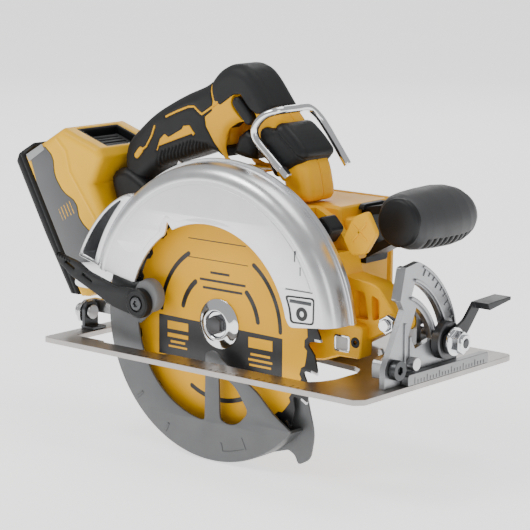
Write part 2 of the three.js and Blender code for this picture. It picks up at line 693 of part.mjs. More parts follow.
function ring(inset, round) {
  const half = HANDLE.half - inset;
  const geometry = new THREE.ExtrudeGeometry(outline(RING), {
    depth: 2 * half - 2 * round,
    bevelThickness: round,
    bevelSize: round,
    bevelOffset: -round - inset,
    bevelSegments: 2,
    curveSegments: 2,
  });
  geometry.translate(0, 0, -HANDLE.mid - half + round);
  return solid(geometry.applyMatrix4(PLANES.y));
}

// Lengths along (p) and across (q) the front post, as the rafter-hook band lies on it.
const POST_AXIS = { x: 0.7715, z: -0.6362 };
const alongPost = ([p, q]) => [POST_AXIS.x * p - POST_AXIS.z * q, POST_AXIS.z * p + POST_AXIS.x * q];
const BAND = { y0: 26, y1: 66, corners: [[-73, 98.5], [-69, 131.5], [-37, 130], [-47.5, 98.5]] };
const HOOK = { x: 15, y: 22, z: 130, wire: 2.9 };

function bandCore(slack) {
  const [low, high] = [101 - slack, 127.6 + slack];
  const section = [[-100, low], [-100, high], [-10, high], [-10, low]];
  return slabY(section.map(alongPost), 28.4 - slack, 63.6 + slack);
}

function hookBarrel(radius, from, to) {
  const middle = (from + to) / 2;
  const geometry = new THREE.CylinderGeometry(radius, radius, to - from, radius === 3.8 ? 6 : 20);
  geometry.rotateZ(-Math.PI / 2).rotateY(Math.atan2(-POST_AXIS.z, POST_AXIS.x));
  return solid(geometry.translate(HOOK.x + POST_AXIS.x * middle, HOOK.y, HOOK.z + POST_AXIS.z * middle));
}

function hookBand() {
  const corners = BAND.corners.map(alongPost);
  const shelf = slabY([[0, 104], [0, 115], [-100, 115], [-100, 104]].map(alongPost), 10, 30);
  const root = slabY(corners, 22, 27).intersect(shelf);
  return cut(
    join(slabY(corners, BAND.y0, BAND.y1, 3, 1), hookBarrel(5.6, 0, 26), root),
    bandCore(0),
    hookBarrel(3.9, -30, 60),
  );
}

function rafterHook() {
  const { x, y, z, wire: radius } = HOOK;
  const path = [
    [x + 24, y, z - 19.8], [x + 8, y, z - 6.6], [x, y, z], [12, y, 136], [13, y, 142], [18, y + 1, 148],
    [27, y + 4, 152], [30, 32, 153],
    [30, 58, 153], [30.5, 66, 150], [34, 70.5, 143], [43, 71, 132], [58, 71, 113],
  ];
  return join(wire(path, radius, 32, 7), hookBarrel(3.8, 28, 36), hookBarrel(2.6, 20, 30));
}

function handleParts() {
  const { mid } = HANDLE;
  const full = ring(0, 3);
  const core = ring(2.6, 0.3);
  const looseCore = ring(2.3, 0.3);
  const gripZone = slabY(GRIP_ZONE, 0, 100);
  const humpZone = slabY(HUMP_ZONE, 0, 100);
  const looseBand = slabY(BAND.corners.map(([p, q]) => alongPost([p + (p < -60 ? -0.4 : 0.4), q])), 20, 72);
  const exposed = cut(
    full,
    slabY(GRIP_ZONE.map(([a, b]) => [a + GAP, b]), -1, 101),
    slabY(HUMP_ZONE.map(([a, b]) => [a, b - GAP]), -1, 101),
  );
  const hollows = [
    slabY(
      [[-50, 150], [-34, 122], [-24, 124], [-18, 140], [0, 143], [14, 140], [20, 146], [4, 160], [-24, 164]],
      33, 59,
    ),
    slabY([[-98, 40], [-100, 54], [-30, 56], [-30, 37]], 33, 59),
    slabY([[36, 94], [31, 112], [14, 130], [24, 138], [44, 116], [51, 94]], 33, 59),
    slabY([[-114, 106], [-98, 122], [-60, 141], [-48, 146], [-40, 128], [-64, 121], [-100, 104]], 35, 57),
  ];
  const body = cut(join(exposed, core), cut(looseBand, bandCore(-GAP)), ...hollows);
  return {
    near: cut(body.intersect(box(-200, 100, 0, mid - GAP / 2, 0, 250)), slabY(LOCK_OFF, 20, 36.2, 4)),
    far: body.intersect(box(-200, 100, mid + GAP / 2, 100, 0, 250)),
    grip: cut(full.intersect(gripZone), looseCore),
    hump: cut(full.intersect(humpZone), looseCore),
  };
}

// ---------------------------------------------------------------- trigger, lock-off and spindle lock

const LOCK_OFF = [[-10.5, 162.5], [-2.5, 164.5], [12.5, 146.5], [5, 142.5]];
const SPINDLE_LOCK = { x: 79, y0: 14, y1: 29, z: 75.5, tilt: 44 };

function trigger() {
  const side = [
    [-12.5, 134], [-14, 122], [-10, 115, 3], [2, 114.8, 5], [4, 122, 4], [1.5, 133, 4], [-6, 137.4, 2],
  ];
  return slabY(side, HANDLE.mid - 12.5, HANDLE.mid + 12.5, 0, 2.5);
}

function lockOffButton() {
  const inner = LOCK_OFF.map(([a, b], i) => [a + [0.7, 0, -0.7, 0][i], b + [-0.4, -0.8, 0.4, 0.8][i]]);
  return slabY(inner, 25.8, 32.6, 4, 0.8);
}

function triggerSwitch() {
  const side = [[-40, 146], [-30, 134], [-19, 143], [-6, 144], [0, 146], [-12, 157], [-30, 158]];
  return slabY(side, HANDLE.mid - 9, HANDLE.mid + 9);
}

function spindleLockButton() {
  const { x, y0, y1, z, tilt } = SPINDLE_LOCK;
  const half = (y1 - y0) / 2;
  const cap = outline([[-6, -9, 2], [7.5, -6.5, 3], [7.5, 6.5, 3], [-6, 9, 2]]);
  const block = extrude(cap, -half, half, "z", 1);
  const stand = new THREE.Matrix4().makeTranslation(x, (y0 + y1) / 2, z)
    .multiply(new THREE.Matrix4().makeRotationY(-tilt * DEG)).multiply(PLANES.y);
  return moved(block, stand);
}

// ---------------------------------------------------------------- front handle

// Runs from the motor side of the saw to the knob; drawn in (x, z).
function auxHandleBracket() {
  const { x1 } = HOUSING;
  const foot = slabX([[60, 45, 3], [90, 45, 3], [90, 88, 4], [60, 88, 4]], x1 + GAP, x1 + 5);
  const strut = (from, to, half) => {
    const dx = to[0] - from[0];
    const dz = to[1] - from[1];
    const length = Math.hypot(dx, dz);
    const [nx, nz] = [(-dz / length) * half, (dx / length) * half];
    const side = [
      [from[0] + nx, from[1] + nz], [to[0] + nx, to[1] + nz],
      [to[0] - nx, to[1] - nz], [from[0] - nx, from[1] - nz],
    ];
    return slabY(side, 63, 87);
  };
  const struts = join(strut([x1 + 2, 82], [124, 92], 3), strut([x1 + 2, 51], [119, 73], 3));
  const pad = box(x1, x1 + 9, 42, 64, 40, 84);
  return cut(join(foot, struts), pad, knobSolid(0.3, 0));
}

function knobSolid(grow, shorten) {
  const { x, z, y0, y1, tilt } = KNOB;
  const length = y1 - y0;
  const profile = [
    [0, y0 + shorten], [18.4 + grow, y0 + shorten], [20.4 + grow, y0 + 7], [21.8 + grow, y0 + length * 0.35],
    [22.4 + grow, y0 + length * 0.55], [20.5 + grow, y0 + length * 0.75], [15 + grow, y0 + length * 0.92],
    [8, y1 - 1], [0, y1],
  ];
  const geometry = new THREE.LatheGeometry(profile.map(([r, y]) => new THREE.Vector2(r, y)), 24);
  geometry.scale(1.04, 1, 0.86).rotateY(tilt * DEG).translate(x, 0, z);
  return solid(geometry);
}

function auxHandle() {
  return cut(knobSolid(0, 2.3), rodY(KNOB.x, KNOB.z, 5, KNOB.y0 - 5, KNOB.y0 + 50, 20));
}

function auxHandleCap() {
  const geometry = new THREE.LatheGeometry(
    [[0, 0], [15, 0], [18, 1.2], [18, 2], [0, 2]].map(([r, y]) => new THREE.Vector2(r, y)), 32,
  );
  geometry.scale(1.04, 1, 0.86).rotateY(KNOB.tilt * DEG).translate(KNOB.x, KNOB.y0, KNOB.z);
  return join(solid(geometry), rodY(KNOB.x, KNOB.z, 4.7, KNOB.y0 + 1, KNOB.y0 + 30, 16));
}

// ---------------------------------------------------------------- battery and its rails

// Lengths down (u) and across (v) the leaning battery.
const leaning = ([u, v, r]) => {
  const [s, c] = [Math.sin(BATTERY.tilt * DEG), Math.cos(BATTERY.tilt * DEG)];
  return [s * u + c * v, -c * u + s * v, r ?? 0];
};

// Along and out of the slanted face that carries the latch.
const SLANT = { u: -193, v: -84, along: [0.743, 0.669], out: [-0.669, 0.743] };
const onSlant = ([s, t]) => leaning([
  SLANT.u + SLANT.along[0] * s + SLANT.out[0] * t,
  SLANT.v + SLANT.along[1] * s + SLANT.out[1] * t,
]);

function batteryCase() {
  const side = [
    [-193, -132, 5], [-193, -84, 4], [-163, -57, 2], [-156, -58, 2], [-150, -66], [-143, -76.5, 2],
    [-70, -76.5, 6], [-70, -132, 6],
  ];
  const body = slabY(side.map(leaning), BATTERY.y0, BATTERY.y1, 0, 3);
  const recess = slabY([[5, -3], [36, -3], [36, 8], [5, 8]].map(onSlant), 25, 67);
  const pocket = slabY([[9, -11], [33, -11], [33, 8], [9, 8]].map(onSlant), 28, 64);
  const rails = slabY([[-138, -78], [-138, -69.3], [-86, -69.3], [-86, -78]].map(leaning), 30, 62);
  return join(cut(body, recess, pocket), rails);
}

function batteryBumper() {
  const side = [[-190, -141, 5], [-190, -132.3], [-73, -132.3], [-73, -141, 5]];
  return slabY(side.map(leaning), BATTERY.y0 + 2, BATTERY.y1 - 2, 0, 1.5);
}

function batteryLatch() {
  const side = [[10, -7], [32, -7], [32, -0.6], [10, -0.6]].map(onSlant);
  return slabY(side, 29, 63, 1, 0.8);
}

function batteryReceptacle() {
  const side = [
    [-73, -76.1], [-141.8, -76.1], [-148.8, -65.4], [-154, -58.3], [-152, -56.4], [-133.8, -62.1],
    [-106, -64.3], [-79.6, -71.2],
  ];
  const block = slabY(side.map(leaning), 25.5, 66.5, 0, 0.8);
  const channel = slabY([[-190, -80], [-190, -68.8], [-85.5, -68.8], [-85.5, -80]].map(leaning), 29.6, 62.4);
  return cut(block, channel);
}

// ---------------------------------------------------------------- everything in its place

const handle = handleParts();
const upperGuard = upperGuardHalves();

add("shoe_plate", shoePlate(), "steel");
add("front_rail", frontRail(), "cast");
add("bevel_quadrant", bevelQuadrant(), "cast");
add("bevel_stop_pin", bevelStopPin(), "chrome");
add("bevel_pivot_pin", bevelPivotPin(), "darkSteel");
add("rear_pivot_bracket", rearPivotBracket(), "darkSteel");
add("rear_pivot_pin", rearPivotPin(), "steel");
add("fence_clamp_screw", fenceClampScrew(), "steel");

add("front_trunnion", frontTrunnion(), "cast");
add("depth_bracket", depthBracket(), "steel");
add("bevel_bolt", bevelBolt(), "chrome");
add("bevel_nut", bevelNut(), "chrome");
add("depth_pivot_bolt", depthPivotBolt(), "chrome");
add("depth_pivot_nut", depthPivotNut(), "chrome");
add("bevel_lever", bevelLever(), "darkSteel");
add("depth_lever", depthLever(), "black");

add("upper_guard", upperGuard.near, "cast");
add("upper_guard_back", upperGuard.back, "cast");
add("depth_bolt", depthBolt(), "chrome");
add("guard_spring", guardSpring(), "steel");
add("gear_case", gearCase(), "yellow");
add("led_lens", box(LED.x0, LED.x1, CASE.y0 + 0.1, 14.6, LED.z0, LED.z1), "lens");
add("motor_housing", motorHousing(), "yellow");
add("motor_end_cap", motorEndCap(), "yellow");
add("stator", stator(), "copper");
add("controller", controller(), "darkSteel");
add("trigger_switch", triggerSwitch(), "black");
add("handle_near_shell", handle.near, "yellow");
add("handle_far_shell", handle.far, "yellow");
add("grip_overmould", handle.grip, "rubber");
add("hump_overmould", handle.hump, "rubber");
add("hook_band", hookBand(), "black");
add("battery_receptacle", batteryReceptacle(), "black");
add("aux_handle_bracket", auxHandleBracket(), "black");
add("aux_handle", auxHandle(), "rubber");
add("aux_handle_cap", auxHandleCap(), "black");
add("spindle_front_bearing", bearing(0, 0, 8.3, 17.2, GUARD.seam + 0.5, GUARD.back), "steel");
add("spindle_rear_bearing", bearing(0, 0, 6.3, 13.8, 31.3, 37), "steel");
add("motor_front_bearing", bearing(MOTOR.x, MOTOR.z, 4.3, 11, 45, 51), "steel");
add("motor_rear_bearing", bearing(MOTOR.x, MOTOR.z, 4.3, 8, 93, 98), "steel");

add("saw_blade", sawBlade(), "bladeYellow");
add("inner_flange", innerFlange(), "steel");
add("outer_flange", outerFlange(), "chrome");
add("blade_bolt", bladeBolt(), "darkSteel");
add("spindle", spindle(), "steel");
add("output_gear", outputGear(), "darkSteel");
add("rotor", rotor(), "darkSteel");
add("motor_shaft", motorShaft(), "steel");
add("cooling_fan", coolingFan(), "black");

add("lower_guard", lowerGuard(), "guardGrey");
add("lower_guard_back", lowerGuardBack(), "guardGrey");
add("guard_lever", guardLever(), "black");
add("guard_lever_screw", guardLeverScrew(), "steel");
add("trigger", trigger(), "black");
add("lock_off_button", lockOffButton(), "black");
add("spindle_lock_button", spindleLockButton(), "black");
add("rafter_hook", rafterHook(), "chrome");
add("battery_case", batteryCase(), "yellow");
add("battery_bumper", batteryBumper(), "black");
add("battery_latch", batteryLatch(), "black");

export default saw;
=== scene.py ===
import math

import bmesh
import bpy
import numpy as np
from mathutils import Matrix, Vector


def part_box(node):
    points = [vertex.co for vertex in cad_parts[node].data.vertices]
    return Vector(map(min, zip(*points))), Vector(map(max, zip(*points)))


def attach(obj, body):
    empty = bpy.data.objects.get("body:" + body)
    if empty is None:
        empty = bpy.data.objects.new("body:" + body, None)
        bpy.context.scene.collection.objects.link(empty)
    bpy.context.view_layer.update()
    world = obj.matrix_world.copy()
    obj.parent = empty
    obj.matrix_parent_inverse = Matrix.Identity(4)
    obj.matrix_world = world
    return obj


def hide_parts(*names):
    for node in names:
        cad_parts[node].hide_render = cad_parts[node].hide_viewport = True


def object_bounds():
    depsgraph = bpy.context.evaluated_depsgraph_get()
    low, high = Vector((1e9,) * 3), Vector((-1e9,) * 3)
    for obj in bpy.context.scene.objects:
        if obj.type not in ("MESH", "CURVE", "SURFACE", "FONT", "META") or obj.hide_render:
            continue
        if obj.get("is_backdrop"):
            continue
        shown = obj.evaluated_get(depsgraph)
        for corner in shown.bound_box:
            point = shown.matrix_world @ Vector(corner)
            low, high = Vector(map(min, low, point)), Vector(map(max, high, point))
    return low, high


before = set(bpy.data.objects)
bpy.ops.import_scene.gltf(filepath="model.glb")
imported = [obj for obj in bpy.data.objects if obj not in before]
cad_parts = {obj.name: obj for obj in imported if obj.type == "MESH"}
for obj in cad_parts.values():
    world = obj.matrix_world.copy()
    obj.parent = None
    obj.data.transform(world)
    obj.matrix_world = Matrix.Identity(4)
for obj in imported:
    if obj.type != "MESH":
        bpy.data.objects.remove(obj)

MM = 0.001
DEG = math.pi / 180
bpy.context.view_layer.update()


def middle(node):
    low, high = (Vector(corner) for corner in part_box(node))
    return (low + high) / 2


# The drawing frame: millimetres about the blade's arbor, X forward, Y to the motor, Z up.
ARBOR = middle("saw_blade")


def at(x, y, z):
    return ARBOR + Vector((x, y, z)) * MM


# ---------------------------------------------------------------- camera, light and floor

VIEW = {"azimuth": 39.52, "elevation": 10.64, "roll": 0.53, "distance": 1518.2}
FOCAL_PX = 2122.5
FRAME_PX = 530
AIM = {"right": -31.85, "up": -41.88}      # how far the arbor stands off the picture's middle, in mm


def camera():
    azimuth, elevation, roll = (VIEW[k] * DEG for k in ("azimuth", "elevation", "roll"))
    level = math.cos(elevation)
    back = Vector((math.sin(azimuth) * level, -math.cos(azimuth) * level, math.sin(elevation)))
    right = Vector((math.cos(azimuth), math.sin(azimuth), 0))
    up = back.cross(right)
    right, up = (right * math.cos(roll) + up * math.sin(roll), up * math.cos(roll) - right * math.sin(roll))
    place = ARBOR + (back * VIEW["distance"] - right * AIM["right"] - up * AIM["up"]) * MM
    data = bpy.data.cameras.new("camera")
    data.sensor_width = 36
    data.lens = data.sensor_width * FOCAL_PX / FRAME_PX
    data.clip_end = 50
    eye = bpy.data.objects.new("camera", data)
    turn = Matrix((right, up, back)).transposed().to_4x4()
    eye.matrix_world = Matrix.Translation(place) @ turn
    bpy.context.collection.objects.link(eye)
    bpy.context.scene.camera = eye


def area_light(name, place, size, watts, target=(0, 0, 0.08)):
    data = bpy.data.lights.new(name, "AREA")
    data.energy = watts
    data.shape = "RECTANGLE"
    data.size, data.size_y = size
    light = bpy.data.objects.new(name, data)
    light.location = place
    light.rotation_euler = (Vector(target) - Vector(place)).to_track_quat("-Z", "Y").to_euler()
    bpy.context.collection.objects.link(light)


def studio():
    area_light("key_light", (-0.9, -1.4, 2.0), (1.0, 0.8), 26)
    area_light("fill_light", (1.9, -1.0, 0.7), (0.8, 1.2), 6)
    area_light("top_light", (0.2, 0.5, 2.3), (1.6, 1.2), 16)
    area_light("rear_light", (-1.4, 1.8, 1.1), (1.0, 0.8), 8)
    world = bpy.data.worlds.new("studio")
    world.use_nodes = True
    world.node_tree.nodes["Background"].inputs["Color"].default_value = (1.0, 1.0, 1.0, 1)
    world.node_tree.nodes["Background"].inputs["Strength"].default_value = 0.5
    bpy.context.scene.world = world
    mesh = bpy.data.meshes.new("floor")
    half, drop = 12.0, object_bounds()[0][2] - 0.0005
    corners = [(x * half, y * half, drop) for x, y in ((-1, -1), (1, -1), (1, 1), (-1, 1))]
    mesh.from_pydata(corners, [], [(0, 1, 2, 3)])
    floor = bpy.data.objects.new("floor", mesh)
    bpy.context.collection.objects.link(floor)
    paper = Shader("floor_paper", (0.9, 0.9, 0.9), 0.9, Emission_Color=(1, 1, 1, 1), Emission_Strength=1.25)
    mesh.materials.append(paper.speckle(3, 0.02).material)
    floor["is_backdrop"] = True


# ---------------------------------------------------------------- materials


class Shader:
    """A principled material with layers of procedural detail added one call at a time."""

    def __init__(self, name, color, roughness, metallic=0.0, **sockets):
        self.material = bpy.data.materials.new(name)
        self.material.use_nodes = True
        self.tree = self.material.node_tree
        self.shader = self.tree.nodes["Principled BSDF"]
        self.color = tuple(color)
        self.roughness = roughness
        self.set("Base Color", (*color, 1))
        self.set("Roughness", roughness)
        self.set("Metallic", metallic)
        for key, value in sockets.items():
            self.set(key.replace("_", " "), value)
        self.bump_from = None

    def set(self, socket, value):
        self.shader.inputs[socket].default_value = value

    def node(self, kind, **values):
        node = self.tree.nodes.new(kind)
        for key, value in values.items():
            if hasattr(node, key):
                setattr(node, key, value)
            else:
                node.inputs[key.replace("_", " ")].default_value = value
        return node

    def link(self, source, target):
        self.tree.links.new(source, target)

    def place(self, stretch=(1, 1, 1)):
        """Object coordinates, stretched for grain that runs one way."""
        where = self.node("ShaderNodeTexCoord")
        mapping = self.node("ShaderNodeMapping")
        mapping.inputs["Scale"].default_value = stretch
        self.link(where.outputs["Object"], mapping.inputs["Vector"])
        return mapping.outputs["Vector"]

    def noise(self, scale, detail=3.0, stretch=(1, 1, 1)):
        noise = self.node("ShaderNodeTexNoise", Scale=scale, Detail=detail)
        self.link(self.place(stretch), noise.inputs["Vector"])
        return noise.outputs["Fac"]

    def spread(self, source, low, high, smooth=(0.3, 0.7)):
        spread = self.node("ShaderNodeMapRange")
        spread.inputs["From Min"].default_value = smooth[0]
        spread.inputs["From Max"].default_value = smooth[1]
        spread.inputs["To Min"].default_value = low
        spread.inputs["To Max"].default_value = high
        self.link(source, spread.inputs["Value"])
        return spread.outputs["Result"]

    def speckle(self, scale, amount, stretch=(1, 1, 1), detail=3.0):
        """Colour that drifts lighter and darker."""
        ramp = self.node("ShaderNodeMix", data_type="RGBA")
        ramp.inputs["A"].default_value = (*[c * (1 - amount) for c in self.color], 1)
        ramp.inputs["B"].default_value = (*[min(1, c * (1 + amount)) for c in self.color], 1)
        self.link(self.spread(self.noise(scale, detail, stretch), 0, 1), ramp.inputs["Factor"])
        self.link(ramp.outputs["Result"], self.shader.inputs["Base Color"])
        return self

    def patchy(self, scale, amount, stretch=(1, 1, 1)):
        """Roughness that varies from place to place."""
        low, high = max(0.02, self.roughness - amount), min(1, self.roughness + amount)
        self.link(self.spread(self.noise(scale, 4.0, stretch), low, high), self.shader.inputs["Roughness"])
        return self

    def bump(self, source, height, strength=1.0):
        bump = self.node("ShaderNodeBump", Strength=strength, Distance=height)
        self.link(source, bump.inputs["Height"])
        if self.bump_from is not None:
            self.link(self.bump_from, bump.inputs["Normal"])
        self.bump_from = bump.outputs["Normal"]
        self.link(self.bump_from, self.shader.inputs["Normal"])
        return self

    def grain(self, scale, height, stretch=(1, 1, 1), detail=2.0):
        return self.bump(self.noise(scale, detail, stretch), height)


def moulded(name, color, roughness, texture=2600, height=0.00004, tint=0.03, **sockets):
    """Injection-moulded plastic with a fine spark-eroded texture."""
    shader = Shader(name, color, roughness, **sockets)
    return shader.speckle(40, tint).patchy(55, 0.06).grain(texture, height).material


def metal(name, color, roughness, texture=900, height=0.00002, tint=0.05, stretch=(1, 1, 1), **sockets):
    shader = Shader(name, color, roughness, metallic=1.0, **sockets)
    return shader.speckle(60, tint).patchy(80, 0.04, stretch).grain(texture, height, stretch).material


LOOK = {}


def make_looks():
    LOOK.update(
        yellow=moulded("yellow_nylon", (0.86, 0.43, 0.003), 0.42, Specular_IOR_Level=0.28),
        battery_yellow=moulded("battery_yellow", (0.92, 0.50, 0.005), 0.42, Specular_IOR_Level=0.28),
        black=moulded("black_nylon", (0.009, 0.0095, 0.0105), 0.46, Specular_IOR_Level=0.3),
        rubber=moulded("grip_rubber", (0.013, 0.0135, 0.0145), 0.55, Specular_IOR_Level=0.3, texture=1700,
                       height=0.00007, tint=0.08),
        knob=moulded("knob_rubber", (0.046, 0.047, 0.049), 0.5, Specular_IOR_Level=0.4, texture=1700,
                     height=0.00007, tint=0.1),
        rail=metal("rolled_rail", (0.27, 0.272, 0.277), 0.36, texture=900, height=0.00004),
        cast=metal("die_cast", (0.37, 0.375, 0.385), 0.33, texture=1300, height=0.00006),
        guard=metal("guard_cast", (0.74, 0.745, 0.76), 0.3, texture=1500, height=0.00002, tint=0.02),
        guard_face=metal("guard_face", (0.93, 0.932, 0.94), 0.5, texture=2200, height=0.00002, tint=0.015),
        lower=Shader("guard_grey", (0.115, 0.118, 0.121), 0.38, metallic=0.55)
        .speckle(70, 0.05).patchy(50, 0.06).grain(1500, 0.00003).material,
        sole=metal("ground_steel", (0.42, 0.395, 0.375), 0.33, texture=500, height=0.00003, tint=0.06,
                   stretch=(0.06, 1, 1)),
        chrome=metal("chrome_plate", (0.82, 0.83, 0.85), 0.1, texture=400, height=0.00001, tint=0.02),
        steel=metal("turned_steel", (0.6, 0.6, 0.61), 0.28, texture=700, height=0.00003),
        dark=metal("black_oxide", (0.085, 0.088, 0.092), 0.36, texture=800, height=0.00003, tint=0.1),
        blade=Shader("blade_coat", (0.86, 0.43, 0.003), 0.44, Specular_IOR_Level=0.28)
        .speckle(30, 0.03).patchy(40, 0.06).grain(800, 0.00001).material,
        print=Shader("black_print", (0.012, 0.012, 0.013), 0.38)
        .speckle(200, 0.15).grain(1500, 0.00001).material,
        lever=Shader("lever_coat", (0.02, 0.021, 0.023), 0.4, metallic=0.3)
        .speckle(90, 0.1).patchy(60, 0.06).grain(1500, 0.00003).material,
        lens=Shader("clear_lens", (0.9, 0.92, 0.95), 0.12, Transmission_Weight=0.6, IOR=1.49)
        .grain(600, 0.00002).material,
        copper=metal("copper_wire", (0.55, 0.25, 0.1), 0.35, texture=900),
        dark_bolt=metal("phosphated_steel", (0.1, 0.1, 0.104), 0.42, texture=700, height=0.00003),
        boss=moulded("boss_coat", (0.16, 0.162, 0.165), 0.34, texture=1500),
        label=moulded("grey_label", (0.1, 0.102, 0.106), 0.4, texture=900, height=0.00002),
        label_pale=moulded("pale_label", (0.32, 0.325, 0.33), 0.42, texture=900, height=0.00002),
    )


# ---------------------------------------------------------------- mesh helpers, all in the drawing frame


def arc(radius, start, end, steps, centre=(0, 0)):
    return [
        (centre[0] + radius * math.cos((start + (end - start) * i / steps) * DEG),
         centre[1] + radius * math.sin((start + (end - start) * i / steps) * DEG))
        for i in range(steps + 1)
    ]


def rounded(points, radius=0.0, steps=6):
    """The outline with its corners rounded; a point may carry a radius of its own as a third number."""
    result = []
    for i, point in enumerate(points):
        here = Vector(point[:2])
        size = point[2] if len(point) > 2 else radius
        before = Vector(points[i - 1][:2]) - here
        after = Vector(points[(i + 1) % len(points)][:2]) - here
        reach = min(size, before.length * 0.48, after.length * 0.48)
        if reach < 0.01:
            result.append(tuple(here))
            continue
        start, end = here + before.normalized() * reach, here + after.normalized() * reach
        for k in range(steps + 1):
            t = k / steps
            result.append(tuple(start.lerp(here, t).lerp(here.lerp(end, t), t)))
    return result


STAND = {
    "y": lambda a, b, c: (a, c, b),
    "x": lambda a, b, c: (c, a, b),
    "z": lambda a, b, c: (a, b, c),
}


def new_object(name, mesh):
    piece = bpy.data.objects.new(name, mesh)
    bpy.context.collection.objects.link(piece)
    return piece


def finished(name, mesh, look, body, node=None, sharp=32):
    """Links a drawn mesh as a piece of the saw: material, shading, body and the CAD node it stands for."""
    piece = new_object(name, mesh)
    mesh.materials.clear()
    mesh.materials.append(LOOK[look])
    mesh.polygons.foreach_set("use_smooth", [True] * len(mesh.polygons))
    mesh.set_sharp_from_angle(angle=sharp * DEG)
    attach(piece, body)
    if node:
        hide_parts(*([node] if isinstance(node, str) else node))
    return piece


def from_bmesh(work):
    bmesh.ops.remove_doubles(work, verts=work.verts, dist=1e-6)
    bmesh.ops.recalc_face_normals(work, faces=work.faces)
    mesh = bpy.data.meshes.new("piece")
    work.to_mesh(mesh)
    work.free()
    return mesh


def plate_mesh(loops, low, high, plane="y", bevel=0.3, rounds=2):
    """A flat piece with bevelled edges, cut from one outer loop and any inner ones, between two levels."""
    curve = bpy.data.curves.new("outline", "CURVE")
    curve.dimensions = "2D"
    curve.fill_mode = "BOTH"
    curve.extrude = (high - low) / 2 - bevel
    curve.bevel_depth = bevel
    curve.bevel_resolution = rounds
    curve.offset = -bevel
    for loop in loops:
        spline = curve.splines.new("POLY")
        spline.points.add(len(loop) - 1)
        for point, (a, b) in zip(spline.points, loop):
            point.co = (a, b, 0, 1)
        spline.use_cyclic_u = True
    drawn = bpy.data.objects.new("outline", curve)
    bpy.context.collection.objects.link(drawn)
    mesh = bpy.data.meshes.new_from_object(drawn.evaluated_get(bpy.context.evaluated_depsgraph_get()))
    bpy.data.objects.remove(drawn)
    bpy.data.curves.remove(curve)
    middle_level = (low + high) / 2
    for vertex in mesh.vertices:
        a, b, c = vertex.co
        vertex.co = at(*STAND[plane](a, b, middle_level + c))
    work = bmesh.new()
    work.from_mesh(mesh)
    bpy.data.meshes.remove(mesh)
    return from_bmesh(work)


def plate(name, loops, low, high, look, body, node=None, plane="y", bevel=0.3, rounds=2):
    return finished(name, plate_mesh(loops, low, high, plane, bevel, rounds), look, body, node)


def revolve_mesh(section, steps, start=0.0, end=360.0, centre=(0, 0), axis="y"):
    """Turns a closed section of (radius, level) about an axis, as a ring or as a sector with flat ends."""
    work = bmesh.new()
    whole = abs(end - start) >= 360
    rows = []
    for i in range(steps if whole else steps + 1):
        angle = (start + (end - start) * i / steps) * DEG
        row = []
        for radius, level in section:
            a, b = centre[0] + radius * math.cos(angle), centre[1] + radius * math.sin(angle)
            row.append(work.verts.new(at(*STAND[axis](a, b, level))))
        rows.append(row)
    for i in range(len(rows) if whole else len(rows) - 1):
        row, following = rows[i], rows[(i + 1) % len(rows)]
        for k in range(len(section)):
            j = (k + 1) % len(section)
            corners = [row[k], row[j], following[j], following[k]]
            if section[k][0] < 1e-6 and section[j][0] < 1e-6:
                continue
            work.faces.new(corners)
    if not whole:
        work.faces.new(rows[0])
        work.faces.new(rows[-1])
    bmesh.ops.remove_doubles(work, verts=work.verts, dist=1e-6)
    bmesh.ops.dissolve_degenerate(work, dist=1e-7, edges=work.edges)
    return from_bmesh(work)


def turned(name, section, look, body, node=None, centre=(0, 0), axis="y", steps=64, start=0.0, end=360.0):
    mesh = revolve_mesh(section, steps, start, end, centre, axis)
    return finished(name, mesh, look, body, node)


def hexagon(radius, centre=(0, 0), turn=30, sides=6):
    return arc(radius, turn, turn + 360 - 360 / sides, sides - 1, centre)


def joined(*meshes):
    work = bmesh.new()
    for mesh in meshes:
        work.from_mesh(mesh)
        bpy.data.meshes.remove(mesh)
    mesh = bpy.data.meshes.new("piece")
    work.to_mesh(mesh)
    work.free()
    return mesh


def rectangle(a, b, c, d):
    return [(a, b), (c, b), (c, d), (a, d)]


def block_mesh(x0, x1, y0, y1, z0, z1, bevel=0.3):
    return plate_mesh([rectangle(x0, z0, x1, z1)], y0, y1, "y", bevel, 1)


def stroke(first, last, half):
    """The four corners of a straight bar between two points."""
    first, last = Vector(first), Vector(last)
    side = Vector((first.y - last.y, last.x - first.x)).normalized() * half
    return [tuple(spot) for spot in (first - side, last - side, last + side, first + side)]


# ---------------------------------------------------------------- upper blade guard

GUARD_NEAR, GUARD_BACK = -15.5, 9.2
WINDOW, SHOULDER, WALL = 73.7, 105.0, 116.2


def chute_rim(inset, start, end, steps):
    points = []
    for i in range(steps + 1):
        angle = start + (end - start) * i / steps
        radius = WALL - 1.5 + 20 * max(0.0, (angle - 131) / 34) ** 0.6 - inset
        points.append((radius * math.cos(angle * DEG), radius * math.sin(angle * DEG)))
    return points


